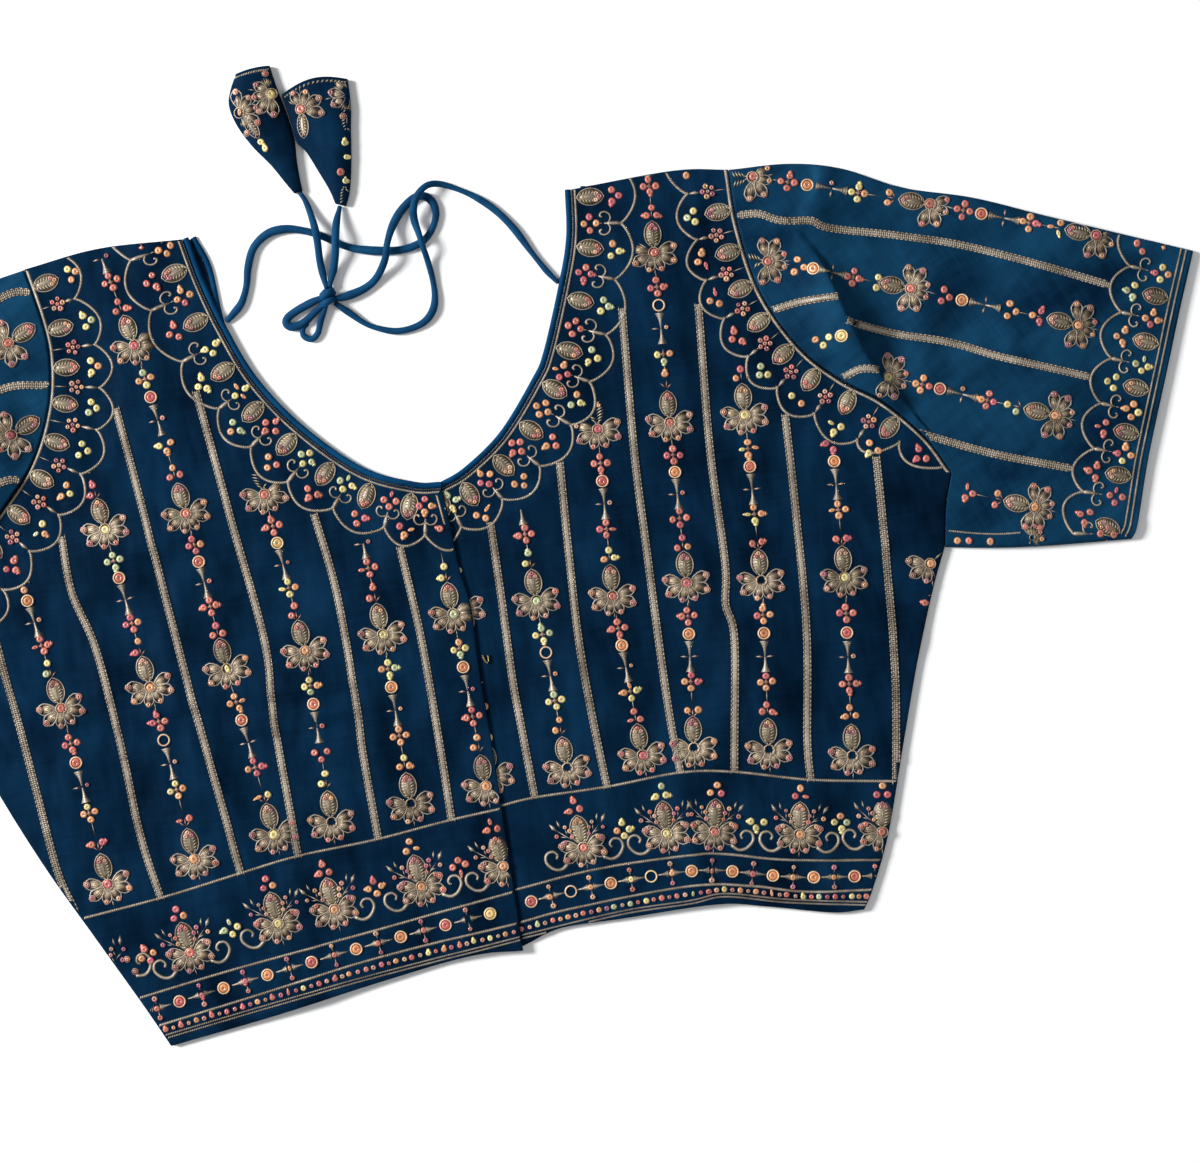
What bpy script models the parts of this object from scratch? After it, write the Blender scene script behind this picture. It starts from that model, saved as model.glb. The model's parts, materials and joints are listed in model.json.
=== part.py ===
"""A choli blouse laid flat with its front up.

The back lies on the surface. The two fronts lie on the back and lap at the centre, the sleeves are
flattened tubes, and the two tie strings of the back neck lie in the neck opening, knotted, with a cloth
tassel on each tail.

Frame: +X runs across the blouse, +Y from the hem to the neck, +Z up. The origin is on the surface that
the blouse lies on, at the centre front, halfway down it. Tables are in millimetres, and MM turns them to
metres. "Left" and "right" are as one looks at the blouse from the front.
"""

import bmesh
import bpy
import numpy as np

MM = 0.001

# Cloth, seams and layers, in millimetres
WALL = 1.2
GAP = 0.3
FRONT_UNDERSIDE = WALL + GAP
LAP_RISE = WALL + GAP
UNDERLAP = 18.0
LAP_RAMP = 24.0
PIPING_WIDTH = 3.2
PIPING_HEIGHT = 1.6
PIPING_LAP_CLEARANCE = 0.6

# Rows and columns of the panels' meshes
NECK_ROWS = 11
TUCK_ROWS = 2
SIDE_ROWS = 9
FRONT_COLUMNS = 13
BACK_COLUMNS = 6
UNDERLAP_COLUMNS = 2
SLEEVE_STATIONS = 13
CUFF_READINGS = 60

# Share of a row from a sleeve's folded edge to the column beside it, and share of a wall's thickness that a
# flat tube's inner skin stands in from its folded edges
SLEEVE_FOLD_SHARE = 0.1
INNER_EDGE_SHARE = 0.9

# Tie strings, tassels and hook
STRING_DIAMETER = 3.6
STRING_STEP = 7.0
STRING_SIDES_RESOLUTION = 2
LEAST_TUBE_STEPS = 4
LOOP_STEP = 5.0
KNOT_CENTRE = (-37.5, 220.5, 4.0)
KNOT_RADII = (4.4, 6.2, 3.9)
TASSEL_WALL = 1.0
TASSEL_COLUMN_SHARES = (0, 0.06, 0.2, 0.5, 0.8, 0.94, 1)
HOOK_WIRE = 0.9
HOOK_STEP = 1.2

# Each edge is a smooth curve through these points. Columns: x, y. Necks run from the shoulder to the
# centre front, armholes from the shoulder to the underarm, sides from there to the hem, and hems from
# the centre front to the side.
OVER_EDGES = {
    "neck": (
        (-101, 262), (-97, 239.5), (-90.5, 215), (-80, 187), (-62, 159.5), (-36.5, 133.5),
        (-12.5, 121.5), (0.5, 119),
    ),
    "centre": ((0.5, 119), (1.5, 99.5), (2, 75), (4, 55), (2.5, 22), (2, -10.5), (0.5, -60), (-1.5, -118.5)),
    "shoulder": ((-101, 262), (-112, 264), (-146.5, 264.5), (-184.5, 261)),
    "armhole": (
        (-184.5, 261), (-180.5, 234.5), (-180, 215), (-185, 191.5), (-198, 165.5), (-219, 143),
        (-245.5, 118.5), (-265, 77),
    ),
    "tuck": ((-265, 77), (-260, 60), (-257, 43)),
    "side": ((-257, 43), (-244, 4), (-228, -36), (-210.5, -73.5), (-192.5, -112), (-183, -133.5)),
    "hem": ((-1.5, -118.5), (-28, -116.5), (-78, -121.5), (-133, -128.5), (-183, -133.5)),
}
UNDER_EDGES = {
    "neck": (
        (88, 251), (84.5, 228.5), (77.5, 208), (63, 174), (54.5, 161), (34, 138), (13.5, 124), (0.5, 119),
    ),
    "centre": ((0.5, 119), (1.5, 99.5), (2, 75), (4, 55), (2.5, 22), (2, -10.5), (0.5, -60), (-0.5, -115)),
    "shoulder": ((88, 251), (117, 251), (142.5, 250.5), (170, 246)),
    "armhole": (
        (170, 246), (169.5, 218), (174.5, 183), (188.5, 152.5), (206, 132.5), (224.5, 118), (242, 97),
        (252, 77),
    ),
    "tuck": ((252, 77), (246.5, 62), (242, 41)),
    "side": (
        (242, 41), (232.5, 21.5), (218.5, -12), (204.5, -50), (188.5, -94), (175.5, -120.5), (169.5, -129.5),
    ),
    "hem": ((-0.5, -115), (20, -111), (50, -112), (97.5, -113.5), (121.5, -119), (153.5, -128), (169.5, -129.5)),
}

# The deep round back neck. Columns: x, y, from the shoulder to the centre back
BACK_NECK = {
    "left": ((-97.5, 262), (-92.5, 246), (-91.5, 222), (-89, 190), (-80, 152), (-62, 120), (-36, 96), (0, 87)),
    "right": ((96, 251.5), (93, 234), (91, 212), (88, 184), (79, 150), (61, 119), (35, 96), (0, 87)),
}
BACK_HEM_CENTRE = (-1.0, -116.5)

# Sleeve edges beyond the armhole. Columns: x, y
SLEEVE_EDGES = {
    "left": {
        "top": ((-184.5, 261), (-207, 257), (-243, 246), (-273, 232), (-327, 212), (-378, 192), (-416, 179.5)),
        "cuff": ((-416, 179.5), (-403, 150.5), (-392, 125), (-372, 82), (-355, 43.5)),
        "bottom": ((-257, 43), (-279, 47), (-307, 47), (-355, 43.5)),
    },
    "right": {
        "top": (
            (170, 246), (200.5, 243.5), (225.5, 236.5), (254, 221.5), (288, 210), (326.5, 192.5), (391, 164),
        ),
        "cuff": ((391, 164), (378.5, 135), (368, 109.5), (350.5, 67.5), (339, 35.5), (334.5, 28)),
        "bottom": ((242, 41), (264.5, 36.5), (291, 32.5), (334.5, 28)),
    },
}

# Soft folds that stand up from the cloth. Columns: start x, start y, end x, end y, width, height
FRONT_FOLDS = (
    (-150, -20, -110, -115, 26, 1.8),
    (-150, 120, -85, 25, 30, 1.6),
    (-232, 70, -170, 20, 22, 1.7),
    (-215, 10, -150, -70, 20, 1.4),
    (-60, 60, -70, -95, 22, 1.4),
    (-140, 230, -135, 180, 18, 1.0),
    (150, 25, 98, -95, 26, 1.9),
    (90, 110, 60, 20, 28, 1.5),
    (215, 70, 165, 30, 20, 1.6),
    (55, 20, 75, -90, 20, 1.3),
    (195, 20, 155, -70, 16, 1.2),
    (128, 225, 125, 175, 18, 1.0),
)
SLEEVE_FOLDS = {
    "left": (
        (-205, 222, -214, 160, 11, 2.0),
        (-225, 190, -300, 170, 16, 1.3),
        (-250, 120, -330, 100, 18, 1.2),
        (-262, 75, -330, 70, 11, 1.3),
    ),
    "right": (
        (209, 215, 214, 150, 9, 2.2),
        (232, 190, 300, 165, 16, 1.3),
        (255, 120, 330, 95, 18, 1.2),
        (256, 66, 320, 55, 10, 1.3),
    ),
}

# Tie strings, from the neck edge to the knot, and tails, from the knot to the tassel.
# Columns: x, y, z of the string's centreline
LEFT_STRING = (
    (-87.6, 217, 1.9), (-82, 223.5, 1.9), (-77, 233, 1.9), (-74.5, 242, 1.9), (-70, 251, 1.9), (-62, 256, 1.9),
    (-53, 257, 1.9), (-44.5, 255, 1.9), (-36, 250.8, 1.9), (-25, 243.5, 1.9), (-16.5, 240, 1.9),
    (-6, 237.5, 1.9), (4, 236.5, 1.9), (13, 238.5, 1.9), (19, 243.5, 1.9), (22.5, 250.5, 1.9),
    (22, 257, 1.9), (18, 261, 1.9), (12.5, 260.5, 1.9), (5.5, 255.5, 1.9), (0, 248.5, 3.2),
    (-4, 240, 6.0), (-6.5, 232.5, 5.6), (-12.5, 224.8, 2.6), (-20, 220.5, 2.3), (-31.8, 218.2, 3.0),
)
RIGHT_STRING = (
    (75.2, 207, 1.9), (71.5, 212.5, 1.9), (66, 223.5, 1.9), (59, 237.5, 1.9), (51.5, 248, 1.9),
    (43, 256, 1.9), (34, 262, 1.9), (27, 265.3, 2.6), (21, 265.3, 5.4), (15.5, 261.5, 6.4),
    (12.2, 255.5, 5.2), (11.5, 249.5, 3.9), (12.5, 242.5, 5.6), (13.3, 236, 6.0), (14.3, 228.5, 3.0),
    (15, 219, 1.9), (14.5, 210, 1.9), (12, 203.5, 1.9), (7, 199, 1.9), (0, 197, 1.9), (-7.5, 197, 1.9),
    (-15, 199.5, 1.9), (-22, 203.5, 1.9), (-32, 211.9, 2.6),
)
FIRST_TAIL = (
    (-38.4, 227.9, 3.0), (-38.6, 238, 3.0), (-37.9, 247, 5.4), (-37.8, 253, 6.0), (-38.7, 261, 3.4),
    (-42.1, 273.2, 1.9),
)
SECOND_TAIL = (
    (-34.4, 227.6, 3.0), (-32.4, 232.5, 3.2), (-30.2, 240, 5.2), (-29, 247, 6.3), (-27.2, 255.5, 4.3),
    (-23.7, 263.2, 1.9),
)
FIRST_LOOP = (
    (-43.6, 219.8, 3.2), (-49.5, 217.9, 2.2), (-55, 216, 1.9), (-59.9, 213.6, 1.9), (-60.9, 210.2, 1.9),
    (-58.2, 207.8, 1.9), (-54, 208.2, 1.9), (-50, 210.6, 2.2), (-43.6, 214.6, 2.6),
)
SECOND_LOOP = (
    (-53, 204.2, 1.9), (-52.4, 201.4, 1.9), (-49.5, 199.9, 1.9), (-46.5, 201.6, 1.9), (-43.7, 206.5, 1.9),
    (-40.2, 212.3, 1.9),
)

# Flattened cone tassels, from the tip to the mouth. Columns: left x, left y, right x, right y, puff
FIRST_TASSEL = (
    (-45.2, 274, -40.8, 274.4, 0.9),
    (-48.6, 280, -41, 281, 1.8),
    (-54, 289.8, -40.8, 290.5, 2.8),
    (-61.3, 300.5, -40.1, 300.5, 3.4),
    (-67, 312, -41.2, 311.5, 3.6),
    (-69.3, 322.5, -43.1, 322.5, 3.4),
    (-67.2, 330, -44.6, 331, 3.2),
    (-63, 337.6, -45.5, 338.7, 2.8),
)
SECOND_TASSEL = (
    (-25.9, 265.2, -20.9, 262.9, 0.9),
    (-27.6, 272.5, -17.8, 269.5, 1.8),
    (-31.5, 283, -14.8, 281, 2.8),
    (-35.4, 293, -12.5, 293.5, 3.6),
    (-39.2, 299, -11.2, 301.5, 3.8),
    (-40.2, 308.5, -9.3, 311.5, 4.0),
    (-42.4, 323.2, -8.4, 325, 3.4),
)
TASSEL_MOUTH_CROWN = {"tassel_first": 0.4, "tassel_second": 4.0}

# The hook beside the lap's edge. Columns: x, y, z of the wire's centreline
HOOK = ((5.3, 30, 3.6), (5.9, 27.5, 3.6), (6.9, 25.6, 3.6), (7.9, 27.2, 3.6), (7.9, 29.6, 3.6))

# Columns: colour, roughness, metallic
MATERIALS = {
    "cotton silk": ((0.004, 0.036, 0.105, 1.0), 0.62, 0.0),
    "satin piping": ((0.006, 0.062, 0.16, 1.0), 0.5, 0.0),
    "cord cloth": ((0.006, 0.082, 0.2, 1.0), 0.55, 0.0),
    "brass": ((0.58, 0.48, 0.3, 1.0), 0.35, 1.0),
}


def clear_scene():
    for obj in list(bpy.data.objects):
        bpy.data.objects.remove(obj, do_unlink=True)


def material(name):
    """The Principled material of that name, made the first time."""
    found = bpy.data.materials.get(name)
    if found:
        return found
    colour, roughness, metallic = MATERIALS[name]
    made = bpy.data.materials.new(name)
    made.use_nodes = True
    shader = made.node_tree.nodes["Principled BSDF"]
    shader.inputs["Base Color"].default_value = colour
    shader.inputs["Roughness"].default_value = roughness
    shader.inputs["Metallic"].default_value = metallic
    return made


def smooth_curve(route, fineness=24):
    """A dense smooth curve (Catmull-Rom) through a route's points."""
    points = np.array(route, float)
    ends = np.vstack([2 * points[0] - points[1], points, 2 * points[-1] - points[-2]])
    t = np.linspace(0, 1, fineness, endpoint=False)[:, None]
    stretches = []
    for a, b, c, d in zip(ends, ends[1:], ends[2:], ends[3:]):
        stretches.append(0.5 * (2 * b + (c - a) * t + (2 * a - 5 * b + 4 * c - d) * t**2
                                + (3 * b - a - 3 * c + d) * t**3))
    return np.vstack(stretches + [points[-1:]])


def lengths_along(curve):
    return np.concatenate([[0], np.cumsum(np.linalg.norm(np.diff(curve, axis=0), axis=1))])


def spaced(route, count):
    """That many equal steps along the smooth curve through a route, as count + 1 points."""
    curve = smooth_curve(route)
    along = lengths_along(curve)
    at = np.linspace(0, along[-1], count + 1)
    return np.column_stack([np.interp(at, along, curve[:, axis]) for axis in range(curve.shape[1])])


def side_normals(line):
    """Unit normals to the left of a line's direction, in plan."""
    run = np.gradient(line[:, :2], axis=0)
    run /= np.linalg.norm(run, axis=1)[:, None]
    return np.column_stack([-run[:, 1], run[:, 0]])


def coons(top, bottom, first, last):
    """Plan points of a patch between four edges. Rows run along first and last, columns along top."""
    v = np.linspace(0, 1, len(first))[:, None, None]
    u = np.linspace(0, 1, len(top))[None, :, None]
    ruled_across = (1 - u) * first[:, None] + u * last[:, None]
    ruled_down = (1 - v) * top[None] + v * bottom[None]
    corners = ((1 - u) * (1 - v) * top[0] + u * (1 - v) * top[-1]
               + (1 - u) * v * bottom[0] + u * v * bottom[-1])
    return ruled_across + ruled_down - corners


def smooth_step(x, low, high):
    t = np.clip((x - low) / (high - low), 0, 1)
    return t * t * (3 - 2 * t)


def folds_height(x, y, folds):
    """How far the cloth stands up at a plan point, from the soft folds around it."""
    height = np.zeros_like(x)
    for x0, y0, x1, y1, width, rise in folds:
        run = np.array([x1 - x0, y1 - y0], float)
        share = np.clip(((x - x0) * run[0] + (y - y0) * run[1]) / (run @ run), 0, 1)
        distance = np.hypot(x - x0 - share * run[0], y - y0 - share * run[1])
        height += rise * np.exp(-(distance / width) ** 2)
    return height


def front_underside(x, y, lapped):
    """Height of a front's lower face. The front on top rises over the underlap at the centre."""
    away = smooth_step(np.abs(x), UNDERLAP + 3, UNDERLAP + 3 + LAP_RAMP)
    base = FRONT_UNDERSIDE + away * folds_height(x, y, FRONT_FOLDS)
    return base + LAP_RISE * (1 - smooth_step(-x, UNDERLAP + 3, UNDERLAP + 3 + LAP_RAMP)) * lapped


def join_grids(grids):
    """A flat sheet mesh from grids of plan points, joined where their edges are the same points."""
    sheet = bmesh.new()
    for grid in grids:
        rows, columns = grid.shape[:2]
        verts = [[sheet.verts.new((*(grid[r, c] * MM), 0)) for c in range(columns)] for r in range(rows)]
        for r in range(rows - 1):
            for c in range(columns - 1):
                sheet.faces.new((verts[r][c], verts[r + 1][c], verts[r + 1][c + 1], verts[r][c + 1]))
    bmesh.ops.remove_doubles(sheet, verts=sheet.verts[:], dist=0.01 * MM)
    bmesh.ops.recalc_face_normals(sheet, faces=sheet.faces[:])
    bmesh.ops.triangulate(sheet, faces=sheet.faces[:])
    return sheet


def add_object(name, mesh_edit, finish):
    """A named object from a closed bmesh, with its material."""
    bmesh.ops.recalc_face_normals(mesh_edit, faces=mesh_edit.faces[:])
    mesh = bpy.data.meshes.new(name)
    mesh_edit.to_mesh(mesh)
    mesh_edit.free()
    mesh.materials.append(material(finish))
    obj = bpy.data.objects.new(name, mesh)
    bpy.context.scene.collection.objects.link(obj)
    return obj


def add_wall(name, grids, underside, thickness, finish):
    """A cloth wall: a sheet at the height of its lower face, thickened straight up."""
    sheet = join_grids(grids)
    for vert in sheet.verts:
        vert.co.z = float(underside(np.array(vert.co.x / MM), np.array(vert.co.y / MM))) * MM
    raised = bmesh.ops.extrude_face_region(sheet, geom=sheet.faces[:], use_keep_orig=True)
    top = [part for part in raised["geom"] if isinstance(part, bmesh.types.BMVert)]
    bmesh.ops.translate(sheet, verts=top, vec=(0, 0, thickness * MM))
    return add_object(name, sheet, finish)


def add_flat_tube(name, plan, top, wall, finish, closed_start=False):
    """A flattened cloth tube with a flat underside.

    plan[station][column] are plan points across the tube, and top the height of its upper face there.
    The first and last columns are the folded edges.
    """
    stations, columns = plan.shape[:2]
    tube = bmesh.new()
    middle = wall + GAP / 2
    inward = np.ones(columns)
    inward[0] = inward[-1] = 0
    rings = []
    for inner in (False, True):
        for j in range(stations):
            points = plan[j].copy()
            high = top[j] - (wall if inner else 0)
            low = np.full(columns, wall if inner else 0.0)
            if inner:
                for end, beside in ((0, 1), (-1, -2)):
                    step = points[beside] - points[end]
                    points[end] += step * wall / max(np.linalg.norm(step), wall) * INNER_EDGE_SHARE
                if closed_start and j == 0:
                    points += (plan[1] - plan[0]) * wall / np.linalg.norm(plan[1] - plan[0], axis=1).mean()
            high = np.where(inward > 0, high, middle)
            upper = [tube.verts.new((*(points[c] * MM), high[c] * MM)) for c in range(columns)]
            lower = [tube.verts.new((*(points[c] * MM), low[c] * MM)) for c in range(columns - 2, 0, -1)]
            rings.append(upper + lower)
    outer, inside = rings[:stations], rings[stations:]
    around = len(outer[0])
    for skin in (outer, inside):
        for ring, following in zip(skin, skin[1:]):
            for i in range(around):
                n = (i + 1) % around
                tube.faces.new((ring[i], ring[n], following[n], following[i]))
    for i in range(around):
        n = (i + 1) % around
        tube.faces.new((outer[-1][i], outer[-1][n], inside[-1][n], inside[-1][i]))
        if not closed_start:
            tube.faces.new((outer[0][i], outer[0][n], inside[0][n], inside[0][i]))
    if closed_start:
        for ring in (outer[0], inside[0]):
            for c in range(columns - 1):
                low_a, low_b = ring[-c % around], ring[-(c + 1) % around]
                corners = dict.fromkeys((ring[c], ring[c + 1], low_b, low_a))
                tube.faces.new(tuple(corners))
    bmesh.ops.triangulate(tube, faces=tube.faces[:])
    return add_object(name, tube, finish)


def outer_edge(edges):
    """Armhole, tuck and side as one line of points, one for each row."""
    stretches = (("armhole", NECK_ROWS), ("tuck", TUCK_ROWS), ("side", SIDE_ROWS))
    lines = [spaced(edges[name], rows) for name, rows in stretches]
    return np.vstack([lines[0], lines[1][1:], lines[2][1:]])


def inner_edge(neck_line, centre_line):
    """Neck and centre line as one line of points, one for each row."""
    return np.vstack([neck_line, centre_line[1:]])


def neck_seam(route, side):
    """The neck's edge, the piping's inner edge a piping's width from it, and the panel's edge a gap further."""
    edge = spaced(route, NECK_ROWS)
    across = side_normals(edge) * side
    across[-1] = (0, -1)
    return edge, edge + across * (PIPING_WIDTH - GAP), edge + across * PIPING_WIDTH


def front_grid(edges, side):
    seam = neck_seam(edges["neck"], side)[2]
    centre_route = (tuple(seam[-1]),) + edges["centre"][1:]
    centre = spaced(centre_route, TUCK_ROWS + SIDE_ROWS)
    inner = inner_edge(seam, centre)
    outer = outer_edge(edges)
    shoulder = spaced((tuple(seam[0]),) + edges["shoulder"][2:], FRONT_COLUMNS)
    hem = spaced(edges["hem"], FRONT_COLUMNS)
    return coons(shoulder, hem, inner, outer), centre


def add_front_over():
    grid, _ = front_grid(OVER_EDGES, -1)
    add_wall("front_over", [grid], lambda x, y: front_underside(x, y, 1), WALL, "cotton silk")


def add_front_under():
    """The front below the lap, with the strip that the lap covers."""
    grid, centre = front_grid(UNDER_EDGES, 1)
    share = np.linspace(1, 0, UNDERLAP_COLUMNS + 1)[None, :, None]
    strip = centre[:, None] - share * np.array([UNDERLAP, 0])
    add_wall("front_under", [grid, strip], lambda x, y: front_underside(x, y, 0), WALL, "cotton silk")


def back_grid(edges, side):
    seam = neck_seam(BACK_NECK[side], -1 if side == "left" else 1)[2]
    centre = np.linspace(seam[-1], BACK_HEM_CENTRE, TUCK_ROWS + SIDE_ROWS + 1)
    shoulder = spaced((tuple(seam[0]),) + edges["shoulder"][2:], BACK_COLUMNS)
    hem = spaced((BACK_HEM_CENTRE,) + edges["hem"][1:], BACK_COLUMNS)
    return coons(shoulder, hem, inner_edge(seam, centre), outer_edge(edges))


def add_back():
    grids = [back_grid(OVER_EDGES, "left"), back_grid(UNDER_EDGES, "right")]
    add_wall("back", grids, lambda x, y: 0.0, WALL, "cotton silk")


def add_sleeve(side):
    """A flattened tube from the armhole to the cuff, its columns in line with the body's rows."""
    edges = OVER_EDGES if side == "left" else UNDER_EDGES
    more = SLEEVE_EDGES[side]
    arm = outer_edge(edges)[: NECK_ROWS + TUCK_ROWS + 1]
    arm = arm + side_normals(arm) * (GAP if side == "right" else -GAP)
    rows = np.arange(len(arm), dtype=float)
    beside = SLEEVE_FOLD_SHARE
    at = np.concatenate([[0, beside], rows[1:-1], [rows[-1] - beside, rows[-1]]])
    share = at / at[-1]
    cuff_line = spaced(more["cuff"], CUFF_READINGS)
    along_cuff = np.linspace(0, 1, len(cuff_line))
    columns = len(at)
    armhole = np.column_stack([np.interp(at, rows, arm[:, axis]) for axis in range(2)])
    cuff = np.column_stack([np.interp(share, along_cuff, cuff_line[:, axis]) for axis in range(2)])
    top_fold = spaced((tuple(armhole[0]),) + more["top"][1:], SLEEVE_STATIONS)
    bottom_fold = spaced((tuple(armhole[-1]),) + more["bottom"][1:], SLEEVE_STATIONS)
    v = np.linspace(0, 1, SLEEVE_STATIONS + 1)[:, None, None]
    u = share[None, :, None]
    ruled = (1 - v) * armhole[None] + v * cuff[None]
    folded = (1 - u) * top_fold[:, None] + u * bottom_fold[:, None]
    corners = ((1 - u) * (1 - v) * armhole[0] + u * (1 - v) * armhole[-1]
               + (1 - u) * v * cuff[0] + u * v * cuff[-1])
    plan = ruled + folded - corners
    puff = folds_height(plan[..., 0], plan[..., 1], SLEEVE_FOLDS[side])
    top = np.broadcast_to(2 * WALL + GAP, (SLEEVE_STATIONS + 1, columns)) + puff
    add_flat_tube("sleeve_" + side, plan, top, WALL, "cotton silk")


def piping_grid(route, side):
    edge, seam, _ = neck_seam(route, side)
    return np.stack([edge, seam], axis=1)


def add_pipings():
    """The strips that bind the neck: one on each front, and one all round the back neck."""
    over = piping_grid(OVER_EDGES["neck"], -1)
    under = piping_grid(UNDER_EDGES["neck"], 1)
    under[-1, :, 0] += PIPING_LAP_CLEARANCE
    back = [piping_grid(BACK_NECK["left"], -1), piping_grid(BACK_NECK["right"], 1)]
    add_wall("piping_front_over", [over], lambda x, y: front_underside(x, y, 1), PIPING_HEIGHT, "satin piping")
    add_wall("piping_front_under", [under], lambda x, y: front_underside(x, y, 0), PIPING_HEIGHT, "satin piping")
    add_wall("piping_back", back, lambda x, y: 0.0, WALL, "satin piping")


def add_tube(name, route, diameter, step, finish):
    """A round cord along a smooth curve, read every step millimetres."""
    length = lengths_along(smooth_curve(route))[-1]
    points = spaced(route, max(LEAST_TUBE_STEPS, round(length / step))) * MM
    data = bpy.data.curves.new(name, "CURVE")
    data.dimensions = "3D"
    data.bevel_depth = diameter / 2 * MM
    data.bevel_resolution = STRING_SIDES_RESOLUTION
    data.use_fill_caps = True
    spline = data.splines.new("POLY")
    spline.points.add(len(points) - 1)
    for point, place in zip(spline.points, points):
        point.co = (*place, 1)
    data.materials.append(material(finish))
    obj = bpy.data.objects.new(name, data)
    bpy.context.scene.collection.objects.link(obj)
    return obj


def add_knot():
    knot = bmesh.new()
    bmesh.ops.create_icosphere(knot, subdivisions=2, radius=MM)
    bmesh.ops.scale(knot, verts=knot.verts[:], vec=KNOT_RADII)
    bmesh.ops.translate(knot, verts=knot.verts[:], vec=[c * MM for c in KNOT_CENTRE])
    add_object("knot", knot, "cord cloth")


def add_ties():
    add_tube("string_left", LEFT_STRING, STRING_DIAMETER, STRING_STEP, "cord cloth")
    add_tube("string_right", RIGHT_STRING, STRING_DIAMETER, STRING_STEP, "cord cloth")
    add_tube("tail_first", FIRST_TAIL, STRING_DIAMETER, STRING_STEP, "cord cloth")
    add_tube("tail_second", SECOND_TAIL, STRING_DIAMETER, STRING_STEP, "cord cloth")
    add_tube("bow_loop_first", FIRST_LOOP, STRING_DIAMETER, LOOP_STEP, "cord cloth")
    add_tube("bow_loop_second", SECOND_LOOP, STRING_DIAMETER, LOOP_STEP, "cord cloth")
    add_knot()


def add_tassel(name, rows):
    """A flattened cloth cone, closed at its tip and open at its mouth."""
    table = np.array(rows, float)
    u = np.array(TASSEL_COLUMN_SHARES, float)
    plan = (1 - u)[None, :, None] * table[:, None, 0:2] + u[None, :, None] * table[:, None, 2:4]
    crown = np.linspace(0, 1, len(table)) ** 3 * TASSEL_MOUTH_CROWN[name]
    plan[..., 1] += crown[:, None] * np.sin(np.pi * u)[None]
    top = 2 * TASSEL_WALL + GAP + table[:, 4:5] * np.sin(np.pi * u)[None]
    add_flat_tube(name, plan, top, TASSEL_WALL, "cotton silk", closed_start=True)


def main():
    clear_scene()
    add_back()
    add_front_under()
    add_front_over()
    add_sleeve("left")
    add_sleeve("right")
    add_pipings()
    add_ties()
    add_tassel("tassel_first", FIRST_TASSEL)
    add_tassel("tassel_second", SECOND_TASSEL)
    add_tube("hook", HOOK, HOOK_WIRE, HOOK_STEP, "brass")


main()
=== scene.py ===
"""An embroidered choli blouse laid flat: its cloth, tie strings, gold thread work and sequins.

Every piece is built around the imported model. Tables and sizes are in millimetres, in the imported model's own
frame: +X across the blouse, +Y from the hem to the neck, +Z up from the surface that it lies on. MM turns
them to metres when a mesh is made. "Left" and "right" are as one looks at the blouse from the front, and
the left front is the one on top at the centre.
"""

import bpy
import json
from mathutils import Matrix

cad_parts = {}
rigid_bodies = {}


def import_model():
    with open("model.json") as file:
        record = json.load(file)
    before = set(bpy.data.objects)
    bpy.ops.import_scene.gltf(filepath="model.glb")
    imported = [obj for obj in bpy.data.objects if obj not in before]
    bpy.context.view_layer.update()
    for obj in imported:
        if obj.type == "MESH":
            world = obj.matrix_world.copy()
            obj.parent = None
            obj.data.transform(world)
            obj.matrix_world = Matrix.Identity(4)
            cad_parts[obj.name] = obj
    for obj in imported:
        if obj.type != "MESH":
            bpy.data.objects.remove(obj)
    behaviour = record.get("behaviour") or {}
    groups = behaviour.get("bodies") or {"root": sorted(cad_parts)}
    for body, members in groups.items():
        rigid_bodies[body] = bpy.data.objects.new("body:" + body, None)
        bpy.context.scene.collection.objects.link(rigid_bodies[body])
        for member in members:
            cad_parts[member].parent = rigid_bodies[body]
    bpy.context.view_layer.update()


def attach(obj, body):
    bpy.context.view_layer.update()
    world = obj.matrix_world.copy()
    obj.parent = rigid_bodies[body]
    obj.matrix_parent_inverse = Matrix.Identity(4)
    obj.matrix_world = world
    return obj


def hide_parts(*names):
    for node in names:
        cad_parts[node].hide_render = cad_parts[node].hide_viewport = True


bl_info = {
    "name": "Embroidered Choli",
    "version": (1, 0, 0),
    "blender": (4, 5, 0),
    "location": "View3D > Sidebar > Choli",
    "description": "Builds an embroidered choli blouse laid flat, with its tie strings and cloth tassels",
    "category": "Add Mesh",
}

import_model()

import json
import math

import bmesh
import bpy
import numpy as np
from bpy.props import FloatProperty, FloatVectorProperty, IntProperty, PointerProperty
from mathutils import Vector

MM = 0.001
BODY = "root"

# The cut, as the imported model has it. Cloth, seams and layers
WALL = 1.2
GAP = 0.3
FRONT_UNDERSIDE = WALL + GAP
LAP_RISE = WALL + GAP
UNDERLAP = 18.0
LAP_RAMP = 24.0
PIPING_WIDTH = 3.2
KNOT_CENTRE = (-37.5, 220.5, 4.0)
TASSEL_WALL = 1.0
HOOK_WIRE = 0.9

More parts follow.
